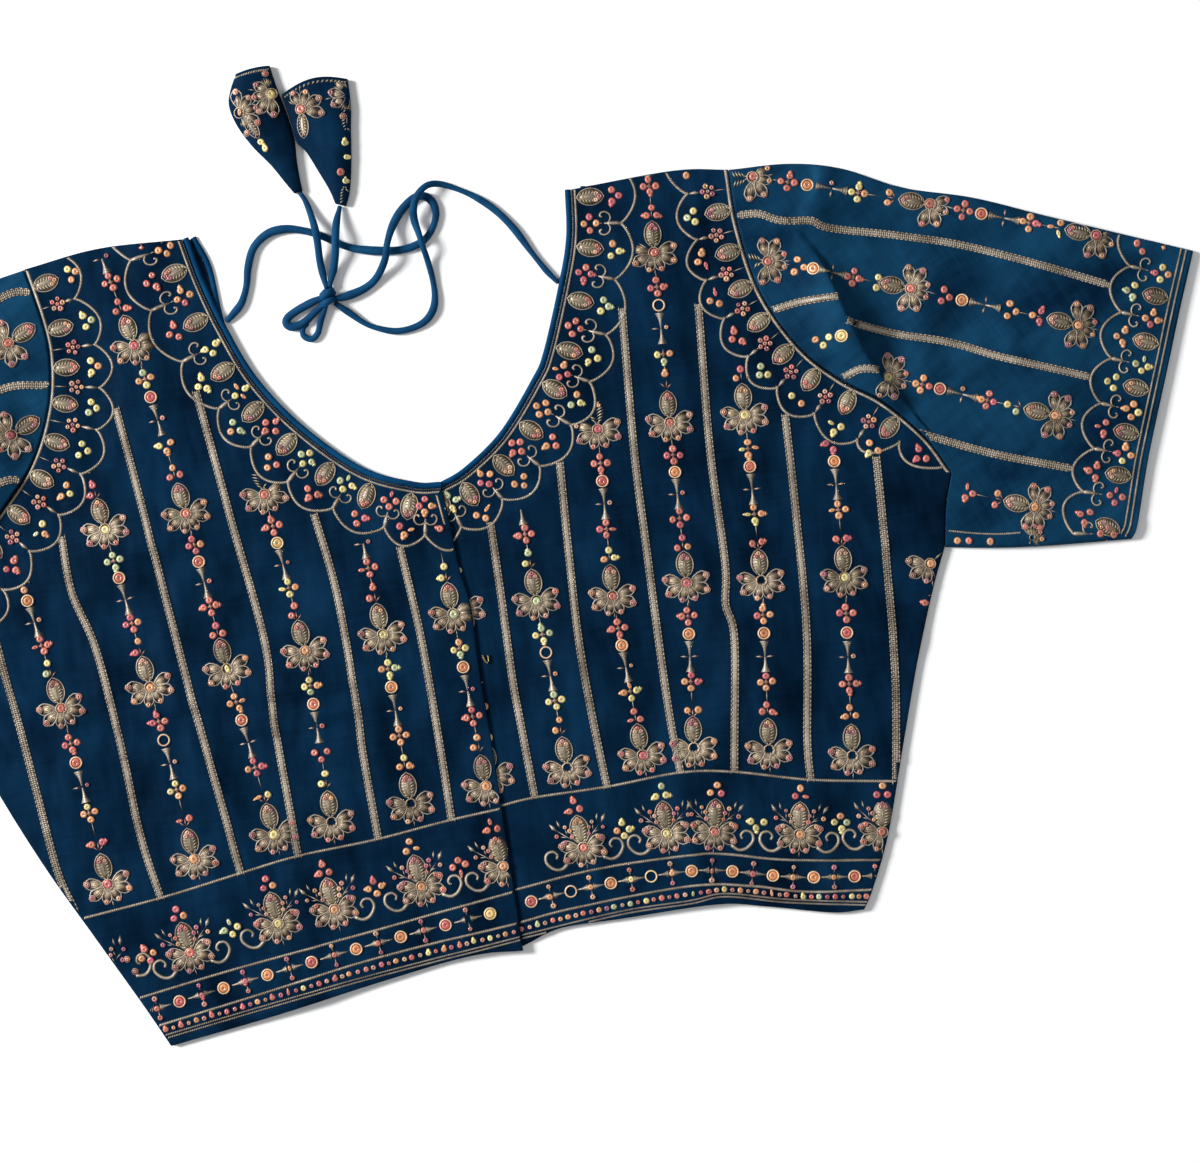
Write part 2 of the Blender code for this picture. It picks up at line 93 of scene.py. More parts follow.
# Each edge is a smooth curve through these points. Columns: x, y
OVER_EDGES = {
    "neck": (
        (-101, 262), (-97, 239.5), (-90.5, 215), (-80, 187), (-62, 159.5), (-36.5, 133.5),
        (-12.5, 121.5), (0.5, 119),
    ),
    "centre": ((0.5, 119), (1.5, 99.5), (2, 75), (4, 55), (2.5, 22), (2, -10.5), (0.5, -60), (-1.5, -118.5)),
    "shoulder": ((-101, 262), (-112, 264), (-146.5, 264.5), (-184.5, 261)),
    "armhole": (
        (-184.5, 261), (-180.5, 234.5), (-180, 215), (-185, 191.5), (-198, 165.5), (-219, 143),
        (-245.5, 118.5), (-265, 77),
    ),
    "tuck": ((-265, 77), (-260, 60), (-257, 43)),
    "side": ((-257, 43), (-244, 4), (-228, -36), (-210.5, -73.5), (-192.5, -112), (-183, -133.5)),
    "hem": ((-1.5, -118.5), (-28, -116.5), (-78, -121.5), (-133, -128.5), (-183, -133.5)),
}
UNDER_EDGES = {
    "neck": (
        (88, 251), (84.5, 228.5), (77.5, 208), (63, 174), (54.5, 161), (34, 138), (13.5, 124), (0.5, 119),
    ),
    "centre": ((0.5, 119), (1.5, 99.5), (2, 75), (4, 55), (2.5, 22), (2, -10.5), (0.5, -60), (-0.5, -115)),
    "shoulder": ((88, 251), (117, 251), (142.5, 250.5), (170, 246)),
    "armhole": (
        (170, 246), (169.5, 218), (174.5, 183), (188.5, 152.5), (206, 132.5), (224.5, 118), (242, 97),
        (252, 77),
    ),
    "tuck": ((252, 77), (246.5, 62), (242, 41)),
    "side": (
        (242, 41), (232.5, 21.5), (218.5, -12), (204.5, -50), (188.5, -94), (175.5, -120.5), (169.5, -129.5),
    ),
    "hem": (
        (-0.5, -115), (20, -111), (50, -112), (97.5, -113.5), (121.5, -119), (153.5, -128), (169.5, -129.5),
    ),
}
BACK_NECK = {
    "left": (
        (-97.5, 262), (-92.5, 246), (-91.5, 222), (-89, 190), (-80, 152), (-62, 120), (-36, 96), (0, 87),
    ),
    "right": ((96, 251.5), (93, 234), (91, 212), (88, 184), (79, 150), (61, 119), (35, 96), (0, 87)),
}
BACK_HEM_CENTRE = (-1.0, -116.5)
SLEEVE_EDGES = {
    "left": {
        "top": (
            (-184.5, 261), (-207, 257), (-243, 246), (-273, 232), (-327, 212), (-378, 192), (-416, 179.5),
        ),
        "cuff": ((-416, 179.5), (-403, 150.5), (-392, 125), (-372, 82), (-355, 43.5)),
        "bottom": ((-257, 43), (-279, 47), (-307, 47), (-355, 43.5)),
    },
    "right": {
        "top": (
            (170, 246), (200.5, 243.5), (225.5, 236.5), (254, 221.5), (288, 210), (326.5, 192.5), (391, 164),
        ),
        "cuff": ((391, 164), (378.5, 135), (368, 109.5), (350.5, 67.5), (339, 35.5), (334.5, 28)),
        "bottom": ((242, 41), (264.5, 36.5), (291, 32.5), (334.5, 28)),
    },
}

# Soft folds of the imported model. Columns: start x, start y, end x, end y, width, height
FRONT_FOLDS = (
    (-150, -20, -110, -115, 26, 1.8), (-150, 120, -85, 25, 30, 1.6), (-232, 70, -170, 20, 22, 1.7),
    (-215, 10, -150, -70, 20, 1.4), (-60, 60, -70, -95, 22, 1.4), (-140, 230, -135, 180, 18, 1.0),
    (150, 25, 98, -95, 26, 1.9), (90, 110, 60, 20, 28, 1.5), (215, 70, 165, 30, 20, 1.6),
    (55, 20, 75, -90, 20, 1.3), (195, 20, 155, -70, 16, 1.2), (128, 225, 125, 175, 18, 1.0),
)
SLEEVE_FOLDS = {
    "left": (
        (-205, 222, -214, 160, 11, 2.0), (-225, 190, -300, 170, 16, 1.3), (-250, 120, -330, 100, 18, 1.2),
        (-262, 75, -330, 70, 11, 1.3),
    ),
    "right": (
        (209, 215, 214, 150, 9, 2.2), (232, 190, 300, 165, 16, 1.3), (255, 120, 330, 95, 18, 1.2),
        (256, 66, 320, 55, 10, 1.3),
    ),
}

# Creases on top of those folds. Columns: height, width on the left of its route, width on the right, route
FRONT_CREASES = (
    (1.5, 9, 3.0, ((-177, 28), (-138, 32), (-88, 29.5), (-57, 29), (-21, 24))),
    (1.3, 8, 3.0, ((-139, -6), (-126, 12), (-91, 12.5), (-60, 16.5), (-23, 20))),
    (1.1, 3.0, 9, ((-131.5, 9), (-135, -12), (-123, -28))),
    (1.0, 10, 4.0, ((-184, 108), (-138, 114), (-96, 118))),
    (1.2, 9, 3.5, ((-240, 72), (-208, 37), (-176, 46))),
    (0.9, 9, 4.0, ((-179, -50), (-122, -45), (-63, -57))),
    (0.9, 8, 4.0, ((-96, 170), (-76, 138), (-57, 108))),
    (1.0, 5, 5, ((-150, 90), (-148, 40), (-142, -10))),
    (0.8, 5, 5, ((-212, 0), (-170, -22), (-140, -30))),
    (0.8, 4, 6, ((-60, 60), (-52, 10), (-58, -40))),
    (1.5, 3.0, 8, ((14, 97), (37, 99.5), (62, 116))),
    (2.2, 16, 7, ((98, 72), (118, 42), (133, 9), (158, -25))),
    (1.4, 12, 6, ((119, 92), (140, 53), (160, 6))),
    (1.0, 4, 8, ((134, 16), (126, -17))),
    (1.5, 10, 5, ((166, 52), (195, 18), (217, -4))),
    (1.1, 12, 7, ((104, 246), (117, 200))),
    (1.3, 8, 5, ((155, 246), (143, 203))),
    (0.9, 5, 6, ((62, 60), (50, 10), (56, -40))),
    (0.9, 5, 5, ((232, 60), (205, 44), (182, 46))),
    (1.1, 6, 4, ((-107, -50), (-104, -84), (-108, -122))),
    (1.1, 4, 6, ((92, -46), (91, -78), (96, -114))),
    (0.9, 5, 7, ((40, -52), (46, -80), (30, -112))),
    (1.1, 7, 7, ((150, -66), (158, -100), (150, -128))),
)
SLEEVE_CREASES = {
    "right": (
        (4.0, 14, 1.6, ((238, 110), (224, 133), (215.5, 157), (211.4, 173), (206.9, 190), (200, 205))),
        (4.0, 22, 13, ((234, 106), (220, 132), (211, 157), (206, 176), (203, 192))),
        (2.6, 11, 14, ((250, 108), (247, 132), (252, 156), (262, 178))),
        (1.6, 9, 2.2, ((216, 246), (212, 228), (201, 214), (197, 200))),
        (3.4, 26, 34, ((288, 60), (313, 133), (334, 200))),
        (1.1, 2.0, 10, ((242, 50), (265, 42), (300, 37.5), (345, 35))),
        (1.0, 5, 5, ((268, 178), (290, 150), (296, 120))),
        (0.9, 4, 7, ((232, 100), (270, 92), (318, 70))),
        (0.8, 4, 6, ((236, 196), (284, 176), (330, 150))),
    ),
    "left": (
        (2.8, 1.8, 15, ((-262, 100), (-240, 131), (-224, 160), (-214, 190), (-212, 206))),
        (2.6, 28, 26, ((-300, 70), (-318, 133), (-336, 190))),
        (1.0, 5, 6, ((-240, 200), (-290, 180), (-350, 160))),
        (0.9, 7, 4, ((-262, 90), (-310, 96), (-360, 84))),
        (1.0, 10, 2.0, ((-258, 52), (-290, 54), (-352, 52))),
    ),
}
BACK_CREASES = (
    (0.35, 8, 3, ((-200, 60), (-120, 48), (-40, 58))), (0.35, 3, 8, ((-150, -20), (-60, 4), (30, -6))),
    (0.35, 8, 4, ((60, 92), (120, 60), (190, 40))), (0.35, 4, 7, ((40, -60), (110, -30), (180, -50))),
    (0.3, 5, 5, ((-180, 150), (-130, 110), (-100, 60))), (0.3, 5, 5, ((110, 210), (128, 150), (118, 100))),
)

# Tie strings, from the neck edge to the knot, and tails, from the knot to the tassel. Columns: x, y, z
LEFT_STRING = (
    (-89.9, 217.5, 1.5), (-86.7, 219.8, 1.9), (-81, 225, 1.9), (-77, 233, 1.9), (-74.5, 242, 1.9),
    (-70, 251, 1.9), (-62, 256.5, 1.9), (-53, 257.3, 1.9), (-44.5, 255, 1.9), (-36, 250.8, 1.9),
    (-25, 243.5, 1.9), (-16.5, 240, 1.9), (-6, 237.5, 1.9), (4, 236.5, 1.9), (13, 238.5, 1.9),
    (19, 243.5, 1.9), (22.5, 250.5, 1.9), (22, 257, 1.9), (18, 261, 1.9), (12.5, 260.5, 1.9),
    (5.5, 255.5, 1.9), (0, 248.5, 3.2), (-4, 240, 6.0), (-6.5, 232.5, 5.6), (-12.5, 224.8, 2.6),
    (-20, 220.5, 2.3), (-30, 218.4, 3.0), (-35, 218.2, 3.6),
)
RIGHT_STRING = (
    (76.4, 206.2, 1.5), (71.8, 212.8, 1.9), (66, 223.5, 1.9), (59, 237.5, 1.9), (51.5, 248, 1.9),
    (43, 256, 1.9), (34, 262, 1.9), (27, 265.3, 2.6), (21, 265.3, 5.4), (15.5, 261.5, 6.4),
    (12.2, 255.5, 5.2), (11.5, 249.5, 3.9), (12.5, 242.5, 5.6), (13.3, 236, 6.0), (14.3, 228.5, 3.0),
    (15, 219, 1.9), (14.5, 210, 1.9), (12, 203.5, 1.9), (7, 199, 1.9), (0, 197, 1.9), (-7.5, 197, 1.9),
    (-15, 199.5, 1.9), (-22, 203.5, 1.9), (-30, 211.3, 2.4), (-35, 216.2, 3.2),
)
FIRST_TAIL = (
    (-37.7, 224.5, 3.8), (-38.2, 229, 3.2), (-38.6, 238, 3.0), (-37.9, 247, 5.4), (-37.8, 253, 6.0),
    (-38.7, 261, 3.4), (-40.3, 269, 2.0), (-42.3, 273.6, 1.9),
)
SECOND_TAIL = (
    (-36.2, 224.8, 3.8), (-34.6, 228.8, 3.2), (-32.4, 233.5, 3.2), (-30.0, 241, 5.2), (-28.6, 248, 6.3),
    (-26.9, 255.5, 4.2), (-23.9, 263.4, 1.9),
)
FIRST_LOOP = (
    (-39.5, 219.6, 4.0), (-43.4, 219.4, 3.4), (-49.5, 217.8, 2.2), (-55, 215.9, 1.9), (-59.6, 213.4, 1.9),
    (-60.8, 210.8, 1.9), (-58.6, 208.6, 1.9), (-54.2, 208.8, 1.9), (-50, 210.8, 2.2), (-44.6, 214.2, 2.8),
    (-40.0, 216.8, 3.6),
)
SECOND_LOOP = (
    (-50.4, 208.9, 1.0), (-53.3, 206.4, 1.7), (-53.3, 202.9, 1.9), (-49.8, 200.8, 1.9), (-46.3, 203.2, 1.9),
    (-43.7, 208.8, 2.2), (-40.4, 214.6, 2.8), (-39.6, 216.8, 3.2),
)

# Flattened cone tassels, from the tip to the mouth. Columns: left x, left y, right x, right y, puff
TASSELS = {
    "tassel_first": (
        (-45.2, 274, -40.8, 274.4, 0.9), (-48.6, 280, -41, 281, 1.8), (-54, 289.8, -40.8, 290.5, 2.8),
        (-61.3, 300.5, -40.1, 300.5, 3.4), (-67, 312, -41.2, 311.5, 3.6), (-69.3, 322.5, -43.1, 322.5, 3.4),
        (-67.2, 330, -44.6, 331, 3.2), (-63, 337.6, -45.5, 338.7, 2.8),
    ),
    "tassel_second": (
        (-25.9, 265.2, -20.9, 262.9, 0.9), (-27.6, 272.5, -17.8, 269.5, 1.8), (-31.5, 283, -14.8, 281, 2.8),
        (-35.4, 293, -12.5, 293.5, 3.6), (-39.2, 299, -11.2, 301.5, 3.8), (-40.2, 308.5, -9.3, 311.5, 4.0),
        (-42.4, 323.2, -8.4, 325, 3.4),
    ),
}
TASSEL_MOUTH_CROWN = {"tassel_first": 0.4, "tassel_second": 4.0}
HOOK = ((5.3, 30, 3.6), (5.9, 27.5, 3.6), (6.9, 25.6, 3.6), (7.9, 27.2, 3.6), (7.9, 29.6, 3.6))

# Embroidered stripes, from the neck or armhole scallops down to the hem border's top line
FRONT_STRIPES = {
    "front_over": (
        ((-236, 128), (-230, 60), (-226, 8), (-223, -36), (-218, -58)),
        ((-190.4, 126), (-190.4, 98), (-184, 70), (-180.3, 26), (-178.5, -27), (-174.4, -60)),
        ((-152, 184), (-147.5, 127), (-144, 76), (-141, 34), (-137, -7), (-132.8, -55)),
        ((-111.2, 185), (-105.6, 119), (-100.1, 56), (-102.8, 14), (-103.2, -52)),
        ((-64.4, 114), (-60.4, 73), (-60.6, 19), (-62.1, -8), (-62.3, -50.5)),
        ((-25.2, 90), (-23.1, 43), (-23.7, -12), (-24.7, -48)),
    ),
    "front_under": (
        ((21.3, 94), (19.8, 55), (17.9, 15), (17.9, -10), (18.1, -44.5)),
        ((60.8, 117), (56.9, 71), (54, 28), (53.7, -11), (54.5, -46)),
        ((105.3, 187), (98.4, 117), (95.6, 69), (91.9, -8), (91.8, -45)),
        ((143.1, 182), (135.7, 110), (132.7, 53), (129.2, 33), (130.1, 14), (118.3, -50)),
        ((175.7, 120), (172.3, 74), (166.4, 12), (157, -41), (155, -61)),
        ((216.5, 91), (211.5, 33), (205.7, -20), (196.8, -70)),
    ),
}

# Flowers of each chain, from the top down. Columns: x, y
FRONT_CHAINS = {
    "front_over": (
        ((-216, 122), (-205.5, 41), (-199, -49.6)),
        ((-176, 205), (-168, 125), (-160.4, 43.5), (-153.9, -45)),
        ((-152, 295), (-136.7, 212.5), (-126.9, 125.2), (-120.9, 45.3), (-112.8, -40)),
        ((-93, 212), (-86.8, 127.5), (-80.9, 47), (-83.7, -39.4)),
        ((-44, 132), (-41.6, 48), (-43.2, -37.7)),
        ((-6, 135), (-5.2, 51.8), (-4.7, -35.7)),
    ),
    "front_under": (
        ((-3, 138), (-0.8, 53), (-1.5, -31)),
        ((38, 134), (36.8, 50.7), (36.8, -34.3)),
        ((90, 212), (82.3, 129), (74.6, 46), (74.8, -34.7)),
        ((135.7, 293), (125.9, 210.6), (118.4, 126), (112, 45.8), (100.5, -35.9)),
        ((163, 206), (155.9, 122.7), (148.7, 40), (137.2, -43.7)),
        ((198, 118), (189.8, 34), (177.5, -54.2)),
        ((239, 118), (233.3, 33), (216, -62)),
    ),
}
SLEEVE_STRIPES = {
    "right": (
        (
            (171, 222.6), (181, 221.5), (191, 216.2), (206, 212.8), (214, 208), (249.4, 197.4), (286, 184),
            (347.6, 153.7),
        ),
        ((180, 173), (193.4, 174.2), (211, 173.1)),
        ((214.2, 160.2), (240.5, 148.7), (264.9, 140.1), (288.6, 128.1), (328.1, 111.1)),
        ((207.7, 133.4), (216, 135.5), (224.6, 133.8)),
        ((240.4, 98.9), (275, 82), (311, 68)),
    ),
    "left": (
        ((-181, 249), (-199.6, 248.6), (-250, 222), (-300, 198), (-371, 170)),
        ((-182, 202), (-208, 203.3), (-250, 183), (-300, 160), (-358, 135)),
        ((-203, 157), (-216.5, 157.6), (-260, 140), (-300, 124), (-343, 104)),
        ((-243, 118), (-262, 110), (-300, 90), (-331, 76)),
    ),
}
# Flowers of the sleeve chains, from the armhole to the cuff
SLEEVE_CHAINS = {
    "right": (
        ((100, 245), (182.4, 240), (267.2, 210.3), (345.4, 179.6)),
        ((102, 212), (182.4, 197.1), (249.6, 170.4), (327.9, 137.1)),
        ((230.8, 129.1), (308.4, 94.9)),
        ((130, 108), (212, 85), (290.7, 51.9)),
    ),
    "left": (
        ((-118, 262), (-199.8, 225.7), (-278, 192), (-356, 158)),
        ((-125, 214), (-206.2, 180.1), (-284, 146), (-340, 121)),
        ((-140, 148), (-220.3, 115.1), (-296, 84), (-330, 68)),
    ),
}

# Cusps of the scalloped borders, each one about 21 mm into the cloth
NECK_CUSPS = {
    "front_over": (
        (-138, 281), (-131.2, 255.7), (-125.4, 229.2), (-114.8, 201.3), (-101.4, 174.9), (-89.1, 153.3),
        (-74.1, 132.8), (-54.4, 115.9), (-31, 101.9), (-11.6, 94.2), (9, 90),
    ),
    "front_under": (
        (117, 257), (112.6, 229.3), (104.5, 202.4), (95.1, 176.1), (82.9, 154.5), (69.7, 135.1),
        (50.7, 117.7), (29.5, 104.9), (6.8, 94.9), (-14, 90),
    ),
}
ARMHOLE_CUSPS = {
    "front_over": (
        (-167, 266), (-162.2, 242.1), (-156.5, 217.7), (-158, 196.1), (-163.3, 175.7), (-175.2, 155.5),
        (-189.7, 137.4), (-207.3, 122.3), (-224, 106), (-238, 88), (-247, 66),
    ),
    "front_under": (
        (146, 262), (147.7, 237.6), (148.4, 214.1), (149.2, 193.6), (154.6, 173.2), (162.9, 152.4),
        (174.3, 134.5), (190.2, 118.3), (208.9, 101.6), (229.4, 96.5), (249, 80.5),
    ),
}
CUFF_CUSPS = {
    "right": (
        (366, 184), (358.4, 161.9), (349.8, 140.1), (340.7, 118.4), (331.2, 97.3), (324.1, 75.7),
        (314.8, 55.6), (306, 36),
    ),
    "left": (
        (-391, 197), (-382, 174), (-373, 151), (-364, 129), (-355, 107), (-346, 86), (-337, 65), (-329, 42),
    ),
}

# Hem border's lines, from the centre front to the side, and its motifs. Columns: x, y
HEM_LINES = {
    "front_over": (
        (
            (0.4, -46.8), (-24.7, -47.8), (-62.3, -50.5), (-102.7, -51.6), (-132.8, -54.7), (-174.4, -59.7),
            (-218, -63),
        ),
        ((0.8, -88.6), (-73.2, -95.2), (-142.4, -101.2), (-198, -107.4)),
        ((0.9, -104.4), (-75.7, -109), (-145.4, -117.4), (-190, -122.6)),
        ((-1.5, -112.1), (-77.3, -117.4), (-115.6, -120.9), (-186, -128.4)),
    ),
    "front_under": (
        (
            (0.4, -45.5), (18.1, -44.5), (54.5, -45.7), (91.7, -45.4), (118.3, -49.9), (154.9, -60.7),
            (200, -70),
        ),
        ((0.4, -88), (42.6, -85.2), (89.1, -86.7), (106.4, -89.4), (136.3, -98), (184, -107)),
        ((0.4, -104.4), (27.7, -102.3), (86.3, -101.9), (116.3, -107.5), (142.3, -115.3), (179, -121)),
        ((-0.5, -111.6), (49.9, -108.9), (84.8, -109.8), (102.7, -109.5), (132.6, -118.1), (173, -127)),
    ),
}
HEM_MOTIFS = {
    "front_over": (
        (-3.6, -76.6), (-45.3, -79.1), (-90.1, -82.4), (-118.9, -84.2), (-164.9, -90.9), (-204, -95),
    ),
    "front_under": ((37.4, -74.6), (79.5, -75.2), (102.8, -78.5), (144.3, -87.8), (185.3, -94.3)),
}

# Chain of motifs between two flowers. Columns: motif, distance from the upper flower's centre
CHAIN_PITCH = 84.0
CHAIN = (
    ("thread", 10.0), ("four sequins", 15.8), ("medallion", 24.8), ("cone down", 32.4), ("cross", 36.4),
    ("cone up", 40.2), ("four sequins", 49.0), ("long thread", 56.0), ("two above leaf", 63.4),
    ("leaf", 79.0),
)
# Now and then another motif stands in for one of these
STAND_INS = {
    "four sequins": ("four sequins",) * 6 + ("three sequins",),
    "two above leaf": ("two above leaf", "three above leaf", "one above leaf"),
    "cross": ("cross", "cross and bead"),
    "flower": ("flower",) * 7 + ("open flower",),
}


# ---------------------------------------------------------------- curves and patches


def smooth_curve(route, fineness=24):
    """A dense smooth curve (Catmull-Rom) through a route's points."""
    points = np.array(route, float)
    ends = np.vstack([2 * points[0] - points[1], points, 2 * points[-1] - points[-2]])
    t = np.linspace(0, 1, fineness, endpoint=False)[:, None]
    stretches = []
    for a, b, c, d in zip(ends, ends[1:], ends[2:], ends[3:]):
        stretches.append(0.5 * (2 * b + (c - a) * t + (2 * a - 5 * b + 4 * c - d) * t**2
                                + (3 * b - a - 3 * c + d) * t**3))
    return np.vstack(stretches + [points[-1:]])


def lengths_along(curve):
    return np.concatenate([[0], np.cumsum(np.linalg.norm(np.diff(curve, axis=0), axis=1))])


def at_line_shares(line, shares):
    """Points of a line of straight steps at these shares of its length."""
    along = lengths_along(line)
    at = np.asarray(shares) * along[-1]
    return np.column_stack([np.interp(at, along, line[:, axis]) for axis in range(line.shape[1])])


def at_shares(route, shares):
    """Points of the smooth curve through a route, at these shares of its length."""
    return at_line_shares(smooth_curve(route), shares)


def route_length(route):
    return lengths_along(smooth_curve(route))[-1]


def spaced(route, count):
    """That many equal steps along the smooth curve through a route, as count + 1 points."""
    return at_shares(route, np.linspace(0, 1, count + 1))


def stepped(route, step):
    """Points about a step apart along the smooth curve through a route."""
    return spaced(route, max(2, round(route_length(route) / step)))


def directions(line):
    """Unit directions along a line of plan points."""
    run = np.gradient(line[:, :2], axis=0)
    return run / np.maximum(np.linalg.norm(run, axis=1), 1e-9)[:, None]


def left_of(run):
    """Directions a quarter turn to the left of these."""
    return np.column_stack([-run[:, 1], run[:, 0]])


def side_normals(line):
    """Unit normals to the left of a line's direction, in plan."""
    return left_of(directions(line))


def inset_line(line, side, inset):
    return line + side_normals(line) * side * inset


def neck_normals(edge, side):
    """Unit directions from a neck's edge into the cloth. At the centre front that is straight down."""
    across = side_normals(edge) * side
    across[-1] = (0, -1)
    return across


def smooth_step(x, low, high):
    t = np.clip((x - low) / (high - low), 0, 1)
    return t * t * (3 - 2 * t)


def folds_height(x, y, folds):
    """How far the cloth stands up at a plan point, from the soft folds around it."""
    height = np.zeros_like(x)
    for x0, y0, x1, y1, width, rise in folds:
        run = np.array([x1 - x0, y1 - y0], float)
        share = np.clip(((x - x0) * run[0] + (y - y0) * run[1]) / (run @ run), 0, 1)
        distance = np.hypot(x - x0 - share * run[0], y - y0 - share * run[1])
        height += rise * np.exp(-(distance / width) ** 2)
    return height


def nearest_on_route(x, y, line):
    """For each plan point: its distance to a line, its side (1 on the left), and its share of the length."""
    along = lengths_along(line)
    best = np.full(x.shape, np.inf)
    side = np.ones(x.shape)
    share = np.zeros(x.shape)
    for (ax, ay), (bx, by), start, run in zip(line, line[1:], along, np.diff(along)):
        t = np.clip(((x - ax) * (bx - ax) + (y - ay) * (by - ay)) / run**2, 0, 1)
        dx = x - ax - t * (bx - ax)
        dy = y - ay - t * (by - ay)
        distance = np.hypot(dx, dy)
        closer = distance < best
        best = np.where(closer, distance, best)
        side = np.where(closer, np.where((bx - ax) * dy - (by - ay) * dx >= 0, 1, -1), side)
        share = np.where(closer, (start + t * run) / along[-1], share)
    return best, side, share


def distance_from(points, line):
    return nearest_on_route(points[:, 0], points[:, 1], line)[0]


def creases_height(x, y, creases):
    """Height of the creases: each one falls away faster on one side of its route than on the other."""
    height = np.zeros_like(x)
    for rise, left, right, route in creases:
        distance, side, share = nearest_on_route(x, y, smooth_curve(route, 4))
        width = np.where(side > 0, left, right)
        taper = np.sin(np.pi * np.clip(share, 0.03, 0.97)) ** 0.6
        height += rise * taper * np.exp(-(distance / width) ** 2)
    return height


def inside(x, y, outline):
    """Whether each plan point is inside a closed outline."""
    within = np.zeros(x.shape, bool)
    for (ax, ay), (bx, by) in zip(outline, np.roll(outline, -1, axis=0)):
        crosses = (ay > y) != (by > y)
        level = by - ay if by != ay else 1.0
        within ^= crosses & (x < ax + (y - ay) * (bx - ax) / level)
    return within


# ---------------------------------------------------------------- the cloth's faces


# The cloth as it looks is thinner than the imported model's walls. Its back stands off the floor by STITCH_ROOM
CLOTH = 0.8
STITCH_ROOM = 0.45
FRONT_TOP = FRONT_UNDERSIDE + WALL
SLEEVE_TOP = 2 * WALL + GAP
FOLD_RADIUS = 1.7
FOLD_MIDDLE = 1.35
EDGE_ROUNDING = 0.3
CREASE_DEPTH = 1.35
LAP_FLAT = UNDERLAP + 3
# Beside a panel's edge its mesh has one more row this far in, and one more column this share of the width in
EDGE_TURN = 0.6
EDGE_SHARE = 0.0025
TASSEL_READ = (20, 16)
TASSEL_READ_REACH = 4.0


def front_top(x, y, lapped):
    """Height of a front's outer face. The front on top rises over the underlap at the centre."""
    away = smooth_step(np.abs(x), LAP_FLAT, LAP_FLAT + LAP_RAMP)
    height = FRONT_TOP + away * folds_height(x, y, FRONT_FOLDS)
    height += CREASE_DEPTH * creases_height(x, y, FRONT_CREASES)
    return height + LAP_RISE * (1 - smooth_step(-x, LAP_FLAT, LAP_FLAT + LAP_RAMP)) * lapped


def over_top(x, y):
    return front_top(x, y, 1)


def under_top(x, y):
    return front_top(x, y, 0)


def back_face(x, y):
    """Height of the back's outer face, which looks down."""
    return STITCH_ROOM + creases_height(x, y, BACK_CREASES)


def fold_drop(x, y, side):
    """How far a sleeve's face falls as it turns over at the folds along its top and bottom."""
    drop = np.zeros_like(x)
    for edge in ("top", "bottom"):
        distance = nearest_on_route(x, y, smooth_curve(SLEEVE_EDGES[side][edge], 6))[0]
        inward = np.clip(FOLD_RADIUS - distance, 0, FOLD_RADIUS)
        drop = np.maximum(drop, FOLD_RADIUS - np.sqrt(FOLD_RADIUS**2 - inward**2))
    return drop


def sleeve_top(x, y, side):
    high = SLEEVE_TOP + folds_height(x, y, SLEEVE_FOLDS[side])
    high += CREASE_DEPTH * creases_height(x, y, SLEEVE_CREASES[side])
    drop = fold_drop(x, y, side)
    return high - (high - FOLD_MIDDLE) * drop / FOLD_RADIUS


def sleeve_bottom(x, y, side):
    return STITCH_ROOM + (FOLD_MIDDLE - STITCH_ROOM) * fold_drop(x, y, side) / FOLD_RADIUS


def tassel_grid(name, rows, columns):
    """Plan points and upper heights of a flattened cone, from its tip to its mouth."""
    table = at_shares(TASSELS[name], np.linspace(0, 1, rows + 1))
    u = (1 - np.cos(np.pi * np.linspace(0, 1, columns + 1))) / 2
    plan = (1 - u)[None, :, None] * table[:, None, 0:2] + u[None, :, None] * table[:, None, 2:4]
    crown = np.linspace(0, 1, len(table)) ** 3 * TASSEL_MOUTH_CROWN[name]
    plan[..., 1] += crown[:, None] * np.sin(np.pi * u)[None]
    top = 2 * TASSEL_WALL + GAP + table[:, 4:5] * np.sqrt(np.clip(np.sin(np.pi * u), 0, 1))[None]
    return plan, top


def tassel_top(x, y, name):
    """Height of a tassel's outer face, by what its grid says round each point."""
    plan, top = tassel_grid(name, *TASSEL_READ)
    apart = (x[:, None] - plan[..., 0].ravel()) ** 2 + (y[:, None] - plan[..., 1].ravel()) ** 2
    near = np.exp(-apart / TASSEL_READ_REACH) + 1e-12
    return (near * top.ravel()).sum(1) / near.sum(1)


class Face:
    """One outer face of the cloth, for the needlework on it. It looks up, or down where up is -1."""

    def __init__(self, height, outline, cloth, up=1):
        self.height = height
        self.outline = outline
        self.cloth = cloth
        self.up = up


def row_counts(fineness):
    """Rows of a panel's mesh beside its armhole, its tuck and its side."""
    return 11 * fineness, 2 * fineness, 9 * fineness


def outer_edge(edges, fineness):
    """Armhole, tuck and side as one line of points, one for each row."""
    names = ("armhole", "tuck", "side")
    lines = [spaced(edges[name], rows) for name, rows in zip(names, row_counts(fineness))]
    return np.vstack([lines[0], lines[1][1:], lines[2][1:]])


def neck_seam(route, side, fineness):
    """The panel's edge, where the neck's binding ends."""
    edge = spaced(route, row_counts(fineness)[0])
    return edge + neck_normals(edge, side) * PIPING_WIDTH


def edge_columns(columns):
    """Shares across a panel, close together beside its edges, where the cloth turns over."""
    return np.concatenate([[0, EDGE_SHARE], np.linspace(0, 1, columns + 1)[1:-1], [1 - EDGE_SHARE, 1]])


